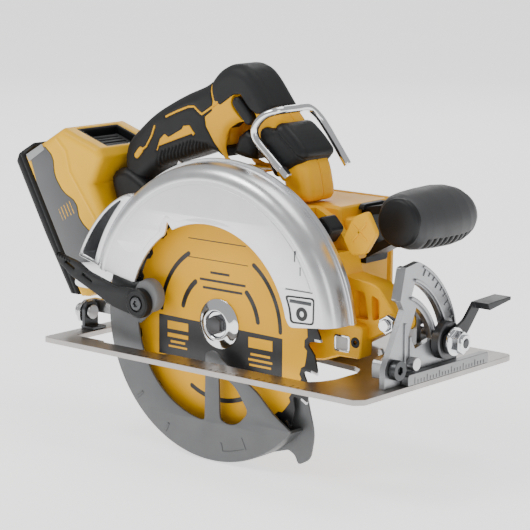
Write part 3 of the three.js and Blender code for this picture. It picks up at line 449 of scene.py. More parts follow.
def upper_guard():
    near_end, far_end = 7.5, 164.7
    rim = [
        (SHOULDER - 2, GUARD_NEAR + 0.3), (SHOULDER, GUARD_NEAR), (107.6, -15.2), (110.4, -14.1),
        (112.9, -12.2), (114.7, -9.4), (115.7, -5.6), (WALL, -1), (WALL, 1.6), (116.5, 2.0), (118.2, 2.1),
        (118.6, 2.6), (118.6, 4.4), (118.2, 4.9), (116.6, 5.0), (WALL, 5.3), (WALL, GUARD_BACK - 0.2),
        (114, GUARD_BACK - 0.2), (113.8, -4), (112.2, -9.6), (109.2, -12.2), (SHOULDER, -13.1),
        (SHOULDER - 2, -13.1),
    ]
    turned("guard_rim", rim, "guard", "saw_body", ["upper_guard", "upper_guard_back"], steps=150,
           start=near_end, end=far_end)
    face = rounded(
        [*arc(SHOULDER - 0.4, near_end, far_end - 0.4, 90), (-72.7, 23.3, 3), *arc(WINDOW, 161.5, 124, 24),
         (-39.6, 64.6), (-38, 71.5), *arc(WINDOW, 116.5, 13, 60), (75.5, 10.4, 9)],
        0.4, 4)
    plate("guard_face", [face], GUARD_NEAR, -13.1, "guard_face", "saw_body", bevel=0.5)
    raised = rounded(
        [*arc(SHOULDER - 3.4, 22.2, 149, 70), (-77, 44.5, 1), (-69, 45.5, 2),
         *arc(WINDOW + 4, 142, 125, 12), (-44.5, 68, 1), (-38.3, 76.5, 2), (-32, 73.4, 1),
         *arc(WINDOW + 4, 112, 30, 50), (69.6, 37.9, 1)],
        0.5, 3)
    plate("guard_panel", [raised], GUARD_NEAR - 0.55, GUARD_NEAR + 0.2, "guard_face", "saw_body", bevel=0.3)
    back = rounded([(-70, 0), (-30, -4), (-20, -19), (18, -19), (60, 6), (96, 13.2), *arc(WALL, 8, 164, 60),
                    (-80, 16)], 3, 4)
    bore = arc(17.5, 0, 360 - 7.5, 47)
    pivot = arc(4.2, 0, 345, 23, (-65, 8))
    plate("guard_back", [back, bore, pivot], 6.8, GUARD_BACK, "guard", "saw_body")
    tab = rounded([(-153, 8), (-148, 25), (-110, 31), (-106, 24), (-124, 6), (-149, 6)], 4, 5)
    plate("guard_tab", [tab, arc(2.6, 0, 345, 15, (-146, 14))], 6.8, GUARD_BACK, "guard", "saw_body")
    tube = [(17.5, 3), (20, 3), (20, 7.2), (17.5, 7.2)]
    turned("guard_bearing_seat", tube, "guard", "saw_body", steps=64)
    outer = [*chute_rim(0, 131, 164.9, 20), *arc(113.9, 164.9, 131, 16)]
    hollow = [*chute_rim(2.6, 137, 163.5, 16), *arc(118.4, 163.5, 137, 12)]
    plate("chip_chute_wall", [rounded(outer, 0.6, 2), rounded(hollow, 1.6, 3)], -12, GUARD_BACK, "guard",
          "saw_body", bevel=0.9)
    plate("chip_chute_back", [outer], 6.6, 8.6, "lower", "saw_body", bevel=0.2)


# ---------------------------------------------------------------- blade and its bolt

TEETH = 24


def tooth_outline():
    points = []
    for i in range(TEETH):
        def spot(radius, share, turn=i):
            angle = (turn + share) * 360 / TEETH * DEG
            return radius * math.cos(angle), radius * math.sin(angle)
        points += [spot(91.6, 0.0), spot(91.2, 0.14), spot(89.0, 0.34), spot(86.6, 0.56), spot(84.0, 0.68),
                   spot(81.6, 0.78), spot(80.6, 0.85), spot(81.2, 0.92), spot(83.4, 0.955), spot(88, 0.985)]
    return points


def slot_loop(radius, half_width, start, end, steps=24):
    outer = arc(radius + half_width, start, end, steps)
    inner = arc(radius - half_width, end, start, steps)
    first, last = (arc(radius, t, t, 1)[0] for t in (start, end))
    cap_end = arc(half_width, end, end + 180, 8, last)[1:-1]
    cap_start = arc(half_width, start + 180, start + 360, 8, first)[1:-1]
    return [*outer, *cap_end, *inner, *cap_start]


def saw_blade():
    bore = arc(8.2, 0, 352.5, 47)
    plate("saw_blade_plate", [tooth_outline(), bore], -0.85, 0.85, "print", "blade", "saw_blade",
          bevel=0.12, rounds=1)
    tips = []
    for i in range(TEETH):
        angle = i * 360 / TEETH
        low, high = (arc(r, angle - 0.1, angle - 0.1, 1)[0] for r in (86.5, 92))
        back_high, back_low = (arc(r, angle + 1.15, angle + 1.15, 1)[0] for r in (91.6, 86.5))
        tips.append(plate_mesh([[low, high, back_high, back_low]], -1.1, 1.1, "y", 0.15, 1))
    finished("carbide_tips", joined(*tips), "steel", "blade")
    slots = [slot_loop(56, 1.7, centre - 27, centre + 27) for centre in (29, 149, 269)]
    slots += [slot_loop(36, 1.9, centre - 18, centre + 18, 16) for centre in (28, 148, 268)]
    edge = []
    for i in range(TEETH):
        start = (i + 0.1) * 360 / TEETH
        edge += [*arc(80.2, start, start + 8, 3), *arc(77.6, start + 9.4, start + 13.2, 2)]
    for side, low, high in (("near", -0.92, -0.8), ("far", 0.8, 0.92)):
        plate(f"blade_coat_{side}", [edge, bore, *slots], low, high, "blade", "blade", bevel=0.02, rounds=0)
    band = rounded([(-58.5, -30), (58, -31), (58, -2.4), (-58.5, -0.6)], 0.5, 2)
    hole = arc(17, 0, 352, 44)
    plate("blade_band", [band, hole], -0.98, -0.9, "print", "blade", bevel=0.02, rounds=0)
    bars = [(-50, -30, -10.5, -4.5), (-50, -30, -16.5, -13.5), (-47, -33, -20.5, -18.8),
            (-49, -31, -24, -22.6),
            (27, 49, -13, -5.5), (29, 47, -18.5, -16.8), (27, 49, -22.4, -20.8), (28, 48, -26.2, -24.7)]
    marks = [plate_mesh([rectangle(a, c, b, d)], -1.02, -0.95, "y", 0.02, 0) for a, b, c, d in bars]
    finished("blade_band_bars", joined(*marks), "blade", "blade")
    lines = [(-30, 24, 58.6, 59.3), (-30, 26, 45.0, 45.6), (-9, 9, 35.4, 37.2), (-19, 24, 29.6, 31.4),
             (-16, 21, 23.8, 25.6)]
    marks = [plate_mesh([rectangle(a, c, b, d)], -0.98, -0.9, "y", 0.02, 0) for a, b, c, d in lines]
    finished("blade_face_bars", joined(*marks), "print", "blade")


def blade_fixings():
    washer = [(5, -1.25), (18, -1.25), (18.1, -1.9), (17.2, -2.5), (15.4, -2.8), (12.2, -4.6), (11.2, -5.2),
              (10.2, -5.2),
              (9.4, -4.6), (8.9, -3.4), (5, -3.4)]
    turned("outer_flange_turned", washer, "chrome", "blade", "outer_flange", steps=96)
    head = plate_mesh([hexagon(7.0)], -8.2, -3.5, "y", 0.5, 2)
    crown = revolve_mesh([(0, -8.6), (4.6, -8.6), (5.6, -8.2), (5.6, -7.8), (0, -7.8)], 48)
    shank = revolve_mesh([(0, -4), (4, -4), (4, 19.5), (0, 19.5)], 32)
    finished("blade_bolt_head", joined(head, crown, shank), "dark_bolt", "blade", "blade_bolt")


# ---------------------------------------------------------------- lower blade guard

LOWER_NEAR, LOWER_FAR = -11.2, 6.0


def lower_guard():
    near = rounded(
        [*arc(98.6, 165, 318, 70), (74.2, -64.6, 2), (58.3, -54.8), (42.8, -41, 6), (22.9, -30.1, 5),
         (11.5, -23.4, 3), (6, -18.8, 3), (1, -17.6, 3), (-4.6, -20, 3), (-5.2, -69.4, 9),
         *arc(70.4, 262, 168, 40), (-72.6, 22, 2)],
        0.3, 5)
    window = rounded([(7.6, -31.5), (24, -41.5), (36, -57.6), (26, -67.5), (17, -69.5), (9, -67)], 5, 6)
    plate("lower_guard_face", [near, window], LOWER_NEAR, LOWER_NEAR + 2, "lower", "blade_cover",
          "lower_guard", bevel=0.5)
    rim = [(95.5, LOWER_NEAR + 0.5), (97.6, LOWER_NEAR), (98.6, LOWER_NEAR + 0.5), (99, LOWER_NEAR + 1.5),
           (99, LOWER_FAR - 0.6),
           (98.5, LOWER_FAR), (96.9, LOWER_FAR), (96.9, LOWER_NEAR + 2), (95.5, LOWER_NEAR + 2)]
    turned("lower_guard_rim", rim, "lower", "blade_cover", steps=120, start=165.5, end=318)
    far = rounded(
        [*arc(98.4, 165, 296, 60), (60.4, -83.1, 2), (66, -85.9, 2), (69.3, -92.6, 3), (79.9, -86.9, 5),
         (83.4, -67.8, 7), (76.8, -43.9, 3), (60, -22, 10), *arc(27, 0, 165, 20)],
        0.3, 5)
    hub = arc(20.4, 0, 352.5, 47)
    plate("lower_guard_far_plate", [far, hub], LOWER_FAR - 2, LOWER_FAR, "lower", "blade_cover",
          "lower_guard_back", bevel=0.5)
    ribs = []
    for angle, length in ((200, 7), (222, 9), (243, 9)):
        inner, outer = (arc(r, angle, angle, 1)[0] for r in (96.5 - length, 95.5))
        loop = rounded(stroke(inner, outer, 1.1), 1.0, 4)
        ribs.append(plate_mesh([loop], LOWER_NEAR - 0.45, LOWER_NEAR + 0.4, "y", 0.35, 2))
    groove = [*arc(90.5, 278, 291, 12), *arc(83.5, 291, 291, 1)[:1], *arc(82.3, 291.4, 291.4, 1)[:1],
              *arc(91.7, 292, 277, 12),
              *arc(84.6, 276.6, 276.6, 1)[:1], *arc(84.6, 277.8, 277.8, 1)[:1]]
    ribs.append(plate_mesh([groove], LOWER_NEAR - 0.35, LOWER_NEAR + 0.3, "y", 0.2, 1))
    finished("lower_guard_ribs", joined(*ribs), "lower", "blade_cover")
    boss = [(0, -9.5), (12.3, -9.5), (12.5, -11.6), (11.8, -15.6), (11, -16.8), (9.4, -17.4), (0, -17.4)]
    turned("lower_guard_boss", boss, "boss", "blade_cover", centre=(-57.3, 14.6), steps=64)
    neck = rounded([(-84, 20), (-66, 24), (-54, 4), (-68, -8), (-80, -4)], 2, 3)
    plate("lower_guard_neck", [neck], LOWER_NEAR + 0.1, LOWER_NEAR + 1.9, "lower", "blade_cover", bevel=0.4)


LEVER_HUB = (-60.5, 9.6)


def guard_lever():
    arm = rounded(
        [(-144, 37), (-121.8, 32.6), (-110.7, 26.6), (-82, 19, 6), (-64, 20, 3), (-56, 10), (-62, -0.5),
         (-76, 2, 8), (-87.6, 4.4), (-103, 11.2), (-126.5, 20.6), (-143, 31.5)],
        2.5, 5)
    ring = arc(7.2, 0, 350, 35, LEVER_HUB)
    holes = [rounded([(c - 5.6, d + 2.9), (c + 4.4, d - 1.6), (c + 5.2, d - 0.2), (c - 4.6, d + 4.6)], 0.8, 3)
             for c, d in ((-129, 28), (-111, 20.6))]
    plate("guard_lever_arm", [arm, ring, *holes], -22.4, -17.9, "black", "blade_cover", "guard_lever",
          bevel=1.0, rounds=3)
    hub = [(2.4, -22.6), (5.6, -22.6), (6.2, -23.9), (9.2, -24), (10.6, -23), (11, -21), (10.9, -17.9),
           (2.4, -17.9)]
    turned("guard_lever_hub", hub, "black", "blade_cover", centre=LEVER_HUB, steps=64)
    teeth = []
    for i in range(6):
        x = -142.6 + i * 2.5
        teeth.append(block_mesh(x, x + 1.1, -23.1, -18, 35.2 - i * 0.75, 37.4 - i * 0.75, 0.25))
    finished("guard_lever_serrations", joined(*teeth), "black", "blade_cover")
    screw("guard_lever_torx", LEVER_HUB, 5.0, -24.3, -22.7, "blade_cover", "guard_lever_screw", "dark",
          shank_to=-13)


def screw(name, centre, radius, face, seat, body, node=None, look="chrome", shank_to=None, lobes=6):
    """A pan-head screw seen from the blade side, with a lobed drive."""
    drive = []
    for i in range(lobes * 6):
        angle = i * 60 / lobes * DEG
        reach = radius * (0.42 + 0.07 * math.cos(lobes * angle))
        drive.append((centre[0] + reach * math.cos(angle), centre[1] + reach * math.sin(angle)))
    head = plate_mesh([arc(radius, 0, 352.5, 47, centre), drive], face, seat, "y",
                      min(0.5, (seat - face) / 2.5), 2)
    sunk, rim = radius * 0.6, seat - 0.35
    floor = revolve_mesh([(0, rim), (sunk, rim), (sunk, seat - 0.05), (0, seat - 0.05)], 32, centre=centre)
    meshes = [head, floor]
    if shank_to is not None:
        shank = [(0, seat - 0.1), (2, seat - 0.1), (2, shank_to), (0, shank_to)]
        meshes.append(revolve_mesh(shank, 24, centre=centre))
    finished(name, joined(*meshes), look, body, node)


# ---------------------------------------------------------------- smooth mouldings, drawn as distance fields


def to_outline(points, x, z):
    """Distance from each place to a closed outline, negative inside it."""
    nearest = np.full(np.broadcast(x, z).shape, 1e9)
    inside = np.zeros(nearest.shape, bool)
    for i, (ax, az) in enumerate(points):
        bx, bz = points[i - 1]
        dx, dz = bx - ax, bz - az
        share = np.clip(((x - ax) * dx + (z - az) * dz) / (dx * dx + dz * dz + 1e-9), 0, 1)
        nearest = np.minimum(nearest, np.hypot(x - ax - share * dx, z - az - share * dz))
        crosses = ((az > z) != (bz > z)) & (x < dx * (z - az) / (dz if dz else 1e-9) + ax)
        inside ^= crosses
    return np.where(inside, -nearest, nearest)


def to_line(points, x, z):
    nearest = np.full(np.broadcast(x, z).shape, 1e9)
    for (ax, az), (bx, bz) in zip(points, points[1:]):
        dx, dz = bx - ax, bz - az
        share = np.clip(((x - ax) * dx + (z - az) * dz) / (dx * dx + dz * dz), 0, 1)
        nearest = np.minimum(nearest, np.hypot(x - ax - share * dx, z - az - share * dz))
    return nearest


def rounded_slab(flat, away, half, radius):
    """A flat shape given depth, from the distances to its outline and from its middle plane."""
    a, b = flat + radius, away - half + radius
    return np.minimum(np.maximum(a, b), 0) + np.hypot(np.maximum(a, 0), np.maximum(b, 0)) - radius


def smooth_max(a, b, blend):
    mix = np.clip(0.5 - 0.5 * (b - a) / blend, 0, 1)
    return b * (1 - mix) + a * mix + blend * mix * (1 - mix)


def smooth_min(a, b, blend):
    return -smooth_max(-a, -b, blend)


def field_grid(low, high, step):
    axes = [np.arange(lo - 2 * step, hi + 3 * step, step) for lo, hi in zip(low, high)]
    return np.meshgrid(*axes, indexing="ij", sparse=True)


CUBE_EDGES = [(a, a | bit) for bit in (1, 2, 4) for a in range(8) if not a & bit]


def field_mesh(values, grid, step):
    """Wraps a mesh round the places where the field is negative."""
    values = np.broadcast_to(values, np.broadcast(*grid).shape)
    size = [n - 1 for n in values.shape]
    corner = []
    for c in range(8):
        i, j, k = c & 1, c >> 1 & 1, c >> 2
        corner.append(values[i:i + size[0], j:j + size[1], k:k + size[2]])
    inside = [c < 0 for c in corner]
    total = sum(c.astype(int) for c in inside)
    active = np.nonzero((total > 0) & (total < 8))
    level = [c[active] for c in corner]
    place, hits = np.zeros((len(active[0]), 3)), np.zeros(len(active[0]))
    for a, b in CUBE_EDGES:
        crosses = (level[a] < 0) != (level[b] < 0)
        share = np.where(crosses, level[a] / np.where(crosses, level[a] - level[b], 1), 0)
        for k in range(3):
            start, end = a >> k & 1, b >> k & 1
            place[:, k] += np.where(crosses, start + (end - start) * share, 0)
        hits += crosses
    place = place / hits[:, None] + np.stack(active, 1)
    origin = np.array([axis.ravel()[0] for axis in grid])
    place = origin + place * step
    number = np.full(size, -1)
    number[active] = np.arange(len(place))
    sign = values < 0
    quads = []
    for k in range(3):
        u, v = (k + 1) % 3, (k + 2) % 3
        ahead = [slice(None)] * 3
        behind = [slice(None)] * 3
        ahead[k], behind[k] = slice(1, None), slice(None, -1)
        first, second = sign[tuple(behind)], sign[tuple(ahead)]
        spots = np.stack(np.nonzero(first != second), 1)
        across, up = spots[:, u], spots[:, v]
        spots = spots[(across > 0) & (up > 0) & (across < size[u]) & (up < size[v])]
        ring = []
        for du, dv in ((0, 0), (1, 0), (1, 1), (0, 1)):
            cell = spots.copy()
            cell[:, u] -= du
            cell[:, v] -= dv
            ring.append(number[tuple(cell.T)])
        face = np.stack(ring, 1)
        flip = ~first[tuple(spots.T)]
        face[flip] = face[flip][:, ::-1]
        quads.append(face)
    quads = np.concatenate(quads)
    place = (place + np.array([ARBOR.x, ARBOR.y, ARBOR.z]) * 1000) / 1000
    mesh = bpy.data.meshes.new("piece")
    mesh.from_pydata(place.tolist(), [], quads.tolist())
    mesh.update()
    return mesh


def field_piece(name, values, grid, step, look, body, node=None, sharp=60):
    return finished(name, field_mesh(values, grid, step), look, body, node, sharp)


# ---------------------------------------------------------------- handle

HANDLE_MID, HANDLE_HALF = 46, 18
SHELL_INSET, RUBBER = 0.9, 4        # how far the yellow shells lie back, and how thick the rubber is
SEAM = 0.44
RIB_PITCH, RIB_DEPTH = 2.9, 1.4
LOCK_FLOOR = 38


def eased(points, rounds=2):
    """Cuts the corners of an outline again and again until it flows."""
    for _ in range(rounds):
        points = [
            (a[0] + (b[0] - a[0]) * t, a[1] + (b[1] - a[1]) * t)
            for a, b in zip(points, [*points[1:], points[0]]) for t in (0.2, 0.8)
        ]
    return points


RING = [
    (-101, 34), (-108, 60), (-120, 85), (-124, 104), (-120, 118.5), (-101.5, 135), (-89.5, 143.5),
    (-64.5, 156.5), (-40, 166), (-30, 177), (-19.5, 182.3), (-10, 182.8), (-1, 179.5), (7, 172), (21, 154),
    (30.6, 143.8), (52.2, 119.7), (59, 88.3), (34, 88.3), (27, 108), (8.6, 125), (2, 137), (-8, 140),
    (-20, 133), (-21, 117), (-10, 111.8), (3, 111.8), (5.5, 103), (-19, 103), (-32.5, 120), (-62, 109.5),
    (-86, 102.5), (-105, 88), (-96, 67), (-89, 60), (-22.4, 62), (-22.4, 32), (-60, 31),
]
GRIP = [(-39.4, 178), (-31.4, 149), (-43, 141), (-25, 116), (-30, 95), (-92, 84), (-108, 76), (-150, 76),
        (-150, 150), (-80, 180)]
HUMP = [(-38.8, 178), (-30.6, 149.4), (-9, 163.6), (0, 152.6), (9.5, 147.2), (23, 155.6), (50, 175),
        (20, 200), (-40, 200)]
ACCENT_UPPER = [(-78.5, 140), (-68.5, 144.5), (-56.5, 149), (-51, 149.5), (-47, 146.5), (-43.5, 144.5),
                (-34.5, 150), (-27, 156)]
ACCENT_TIP = [(-28, 155.5), (-28.5, 160.5), (-32, 166)]
ACCENT_REAR = [(-90, 132), (-93, 124.5), (-98.5, 116), (-101.5, 114)]
ACCENT_END = [(-104, 113), (-108, 108.5)]
PATCH = [(-88, 114), (-84.5, 123), (-80, 127), (-76, 125), (-63, 132), (-61.5, 134.5), (-55.5, 135.5),
         (-50, 129.5),
         (-52, 128), (-53, 129.5), (-85.5, 117.5), (-87, 114)]
RIBS = [(-85.5, 114.5), (-53, 126), (-36, 124), (-40, 113), (-63, 104.5), (-93, 95)]
LOCK = [(-9.5, 155.5), (1, 144.5)]
TRIGGER_WELL = [(-34, 112), (-31, 136), (-12, 148), (12, 142), (16, 122), (8, 106.5), (-16, 106.5)]


def inlays(x, z):
    """Distance to the yellow lines and the patch let into the grip's moulding."""
    line = to_outline(PATCH, x, z)
    for route, half in ((ACCENT_UPPER, 0.8), (ACCENT_TIP, 1.6), (ACCENT_REAR, 0.8), (ACCENT_END, 2.4)):
        line = np.minimum(line, to_line(route, x, z) - half)
    return line


def handle_form(grid):
    """Distance to the whole handle, before it is shared between the shells and the rubber."""
    x, y, z = grid
    return rounded_slab(to_outline(eased(RING), x, z), np.abs(y - HANDLE_MID), HANDLE_HALF, 9)


def handle_shells(grid, step, full):
    x, y, z = grid
    lock = to_line(LOCK, x, z)
    rubber = np.minimum(to_outline(eased(GRIP, 1), x, z), to_outline(eased(HUMP, 1), x, z))
    form = smooth_max(full + SHELL_INSET, -np.maximum(lock - 6.6, y - 33.5), 0.8)
    form = smooth_max(form, -np.maximum(rubber + 2.5, -form - 3), 0.5)
    form = np.maximum(form, -(lock - 5.4 + np.maximum(y - LOCK_FLOOR, 0) * 9))
    well = np.maximum(to_outline(eased(TRIGGER_WELL, 1), x, z), np.abs(y - HANDLE_MID) - 13.2)
    form = np.maximum(np.maximum(form, -well), SEAM / 2 - np.abs(y - HANDLE_MID))
    for side, past in (("near", y - HANDLE_MID), ("far", HANDLE_MID - y)):
        half = np.maximum(form, past)
        field_piece(f"handle_shell_{side}", half, grid, step, "yellow", "saw_body", f"handle_{side}_shell")


def handle_rubber(grid, step, full):
    x, y, z = grid
    hump = smooth_max(full, to_outline(eased(HUMP, 1), x, z) + 0.2, 1.4)
    hump = np.maximum(hump, -(full + RUBBER))
    field_piece("hump_moulding", hump, grid, step, "rubber", "saw_body", "hump_overmould")
    wave = 0.5 + 0.5 * np.cos((x * 0.94 - z * 0.34) * 2 * math.pi / RIB_PITCH)
    ribbed = np.clip(-to_outline(RIBS, x, z) / 1.6, 0, 1) * (y - HANDLE_MID + 4 < 6)
    grip = smooth_max(full + RIB_DEPTH * wave * ribbed, to_outline(eased(GRIP, 1), x, z) + 0.2, 1.4)
    grip = smooth_max(grip, -np.maximum(inlays(x, z) - 0.7, full * -1 - 0.7), 0.4)
    grip = np.maximum(grip, -(full + RUBBER))
    field_piece("grip_moulding", grip, grid, step, "rubber", "saw_body", "grip_overmould")


def handle():
    step, fine = 0.8, 0.5
    grid = field_grid((-126, HANDLE_MID - 20, 30), (60, HANDLE_MID + 20, 184), step)
    full = handle_form(grid)
    handle_shells(grid, step, full)
    handle_rubber(grid, step, full)
    grid = field_grid((-112, HANDLE_MID - 19, 104), (-24, HANDLE_MID + 19, 169), fine)
    full = handle_form(grid)
    accents = np.maximum(np.maximum(full + 0.05, inlays(grid[0], grid[2])), -(full + 2))
    field_piece("grip_accents", accents, grid, fine, "yellow", "saw_body")
    grid = field_grid((-18, 24, 136), (10, 33, 164), fine)
    x, y, z = grid
    button = rounded_slab(to_line(LOCK, x, z) - 4.2, np.abs(y - 30), 3.6, 2.2)
    field_piece("lock_off_paddle", button, grid, fine, "black", "lock_off", "lock_off_button")


def trigger():
    step = 0.6
    grid = field_grid((-30, 31, 108), (8, 61, 140), step)
    x, y, z = grid
    outline = [(-20, 117), (-15, 130.5), (-7, 136), (0, 133), (3.4, 123), (1, 114.8), (-6, 114.5),
               (-13, 115.4)]
    finger_piece = rounded_slab(to_outline(outline, x, z), np.abs(y - HANDLE_MID), 12.4, 6)
    field_piece("trigger_moulding", finger_piece, grid, step, "black", "trigger_body", "trigger")


# ---------------------------------------------------------------- auxiliary handle

KNOB = {"x": 125, "z": 82, "near": 42.2, "far": 126.2, "long": 1.04, "short": 0.86, "tilt": 42}
KNOB_PROFILE = [(42.4, 17.6), (44, 18.6), (48, 20.2), (56, 21.2), (70, 22), (88, 22.3), (100, 21.2),
                (110, 18.6), (117, 14.8),
                (122, 10.2), (125, 5.4), (126.2, 0.2)]


def knob():
    step = 0.7
    grid = field_grid((98, 40, 56), (152, 127, 108), step)
    x, y, z = grid
    turn = KNOB["tilt"] * DEG
    u = (x - KNOB["x"]) * math.cos(turn) - (z - KNOB["z"]) * math.sin(turn)
    v = (x - KNOB["x"]) * math.sin(turn) + (z - KNOB["z"]) * math.cos(turn)
    wide = np.hypot(u / KNOB["long"], v / KNOB["short"])
    levels, radii = zip(*KNOB_PROFILE)
    body = (wide - np.interp(y, levels, radii)) * KNOB["short"]
    body = np.maximum(body, KNOB["near"] - y)
    body = np.maximum(body, y - KNOB["far"])
    around = np.degrees(np.arctan2(z - KNOB["z"], x - KNOB["x"]))
    slots = np.maximum(np.abs((y - 50) % 6.2 - 3.1) - 1.6, np.abs(around + 44) * 0.38 - 5.0)
    slots = np.maximum(slots, np.abs(y - 81) - 31.2)
    body = smooth_max(body, -np.maximum(slots, -body - 3.2), 0.4)
    field_piece("knob_grip", body, grid, step, "knob", "saw_body", "aux_handle")
    cap = [(0, 39.2), (14, 39.2), (15.6, 39.7), (16.8, 40.8), (17.2, 42.2), (17.2, 44.5), (0, 44.5)]
    turned("knob_end_cap", cap, "black", "saw_body", "aux_handle_cap", centre=(KNOB["x"], KNOB["z"]),
           steps=72)


# ---------------------------------------------------------------- rafter hook and its band

HOOK_PATH = [
    (39, 22, 110.2), (31, 22, 116.8), (23, 22, 123.4), (17, 22, 128.3), (13.6, 22, 132), (12, 22, 136),
    (12.5, 22, 140), (15.5, 22.5, 145), (20.5, 24, 149.5), (27, 27, 152.2), (30, 33, 153), (30, 45, 153),
    (30, 57, 153), (30.6, 64, 150.6), (33.6, 69.4, 144.6), (39, 71, 137), (45, 71, 129.4),
    (51.5, 71, 121.2), (58, 71, 113),
]
POST = (0.7715, -0.6362)


def along_post(p, q):
    return POST[0] * p - POST[1] * q, POST[1] * p + POST[0] * q


def closed_loft(work, rows):
    """Skins rings of the same number of corners and closes both ends."""
    sides = len(rows[0])
    for row, following in zip(rows, rows[1:]):
        for k in range(sides):
            work.faces.new([row[k], row[(k + 1) % sides], following[(k + 1) % sides], following[k]])
    work.faces.new(rows[0])
    work.faces.new(rows[-1])
    return from_bmesh(work)


def swept_mesh(path, radius, sides=20, samples=8):
    """A round wire that follows a smooth path through the points."""
    points = [Vector(p) for p in path]
    line = []
    for i in range(len(points) - 1):
        a, b, c, d = points[max(i - 1, 0)], points[i], points[i + 1], points[min(i + 2, len(points) - 1)]
        for k in range(samples):
            t = k / samples
            bend, twist = 2 * a - 5 * b + 4 * c - d, 3 * b - a - 3 * c + d
            line.append(0.5 * (2 * b + (c - a) * t + bend * t * t + twist * t * t * t))
    line.append(points[-1])
    work = bmesh.new()
    side = Vector((0, 1, 0))
    rows = []
    for i, spot in enumerate(line):
        ahead = (line[min(i + 1, len(line) - 1)] - line[max(i - 1, 0)]).normalized()
        side = (side - ahead * side.dot(ahead)).normalized()
        other = ahead.cross(side)
        width = radius * (0.86 if i in (0, len(line) - 1) else 1)
        rows.append([
            work.verts.new(at(*(spot + (side * math.cos(t) + other * math.sin(t)) * width)))
            for t in (k * 2 * math.pi / sides for k in range(sides))
        ])
    return closed_loft(work, rows)


def hook():
    wire = swept_mesh(HOOK_PATH, 2.9)
    finished("hook_wire", wire, "chrome", "hook", "rafter_hook", 50)
    hex_end = bmesh.new()
    start, along = Vector((15, 22, 130)), Vector((POST[0], 0, POST[1]))
    across, side = Vector((0, 1, 0)), Vector((-POST[1], 0, POST[0]))
    rows = []
    for reach, radius in ((27.5, 3.0), (28.2, 3.9), (35.4, 3.9), (36.2, 3.1)):
        spot = start + along * reach
        rows.append([
            hex_end.verts.new(at(*(spot + (across * math.cos(t * DEG) + side * math.sin(t * DEG)) * radius)))
            for t in range(0, 360, 60)
        ])
    finished("hook_hex_end", closed_loft(hex_end, rows), "chrome", "hook")


def hook_cuff():
    step = 0.7
    grid = field_grid((-2, 23, 78), (72, 69, 142), step)
    x, y, z = grid
    p, q = POST[0] * x + POST[1] * z, -POST[1] * x + POST[0] * z
    cuff = [(-73, 97), (-73, 118), (-69.5, 131.5), (-52, 132), (-37, 130), (-37, 119), (-44, 101),
            (-48, 96), (-60, 101)]
    flat = to_outline(eased([along_post(a, b) for a, b in cuff], 2), x, z)
    away = np.abs(y - HANDLE_MID)
    barrel = np.maximum(np.hypot(p + 70.8, q - 116) - 5.8, away - 20)
    body = smooth_min(rounded_slab(flat, away, 20, 7), barrel, 3)
    line = np.abs(q - 124.6) - 0.35
    body = smooth_max(body, -np.maximum(line, -body - 0.7), 0.3)
    field_piece("hook_cuff", body, grid, step, "black", "saw_body", "hook_band")


# ---------------------------------------------------------------- battery


def leaning(u, v):
    """From the battery's own axes, which lean 60 degrees, to the drawing frame."""
    return 0.5 * u + 0.866 * v, -0.866 * u + 0.5 * v


def pack_axes(x, z):
    return 0.5 * x - 0.866 * z, 0.866 * x + 0.5 * z


PACK_SIDE = [(-192.4, -132), (-193, -84), (-163.6, -57.2), (-156, -57.4), (-150, -66), (-143, -76.5),
             (-71, -76.5), (-70, -82),
             (-70, -132)]
PACK_MID, PACK_HALF = 46, 36
LINING = 1.8
LABEL = [(-190.5, -129), (-190.5, -108), (-178, -103), (-165, -109), (-150, -107), (-138, -98),
         (-124, -102), (-104, -92),
         (-84, -95), (-80, -110), (-80, -129)]
RIDGE = [(-188, -92), (-176, -88), (-160, -92), (-120, -86), (-84, -86)]


def latch(grid, along, out):
    """The ribbed release pad in the battery's recess."""
    across = np.abs(grid[1] - PACK_MID)
    pad = rounded_slab(np.maximum(np.abs(along - 21) - 11.4, across - 17), np.abs(out + 7.2), 2.8, 1)
    grooves = np.maximum(np.abs(along % 4.4 - 2.2) - 0.7, across - 14)
    pad = smooth_max(pad, -np.maximum(grooves, -pad - 1.3), 0.3)
    field_piece("latch_pad", pad, grid, 0.9, "black", "latch", "battery_latch")


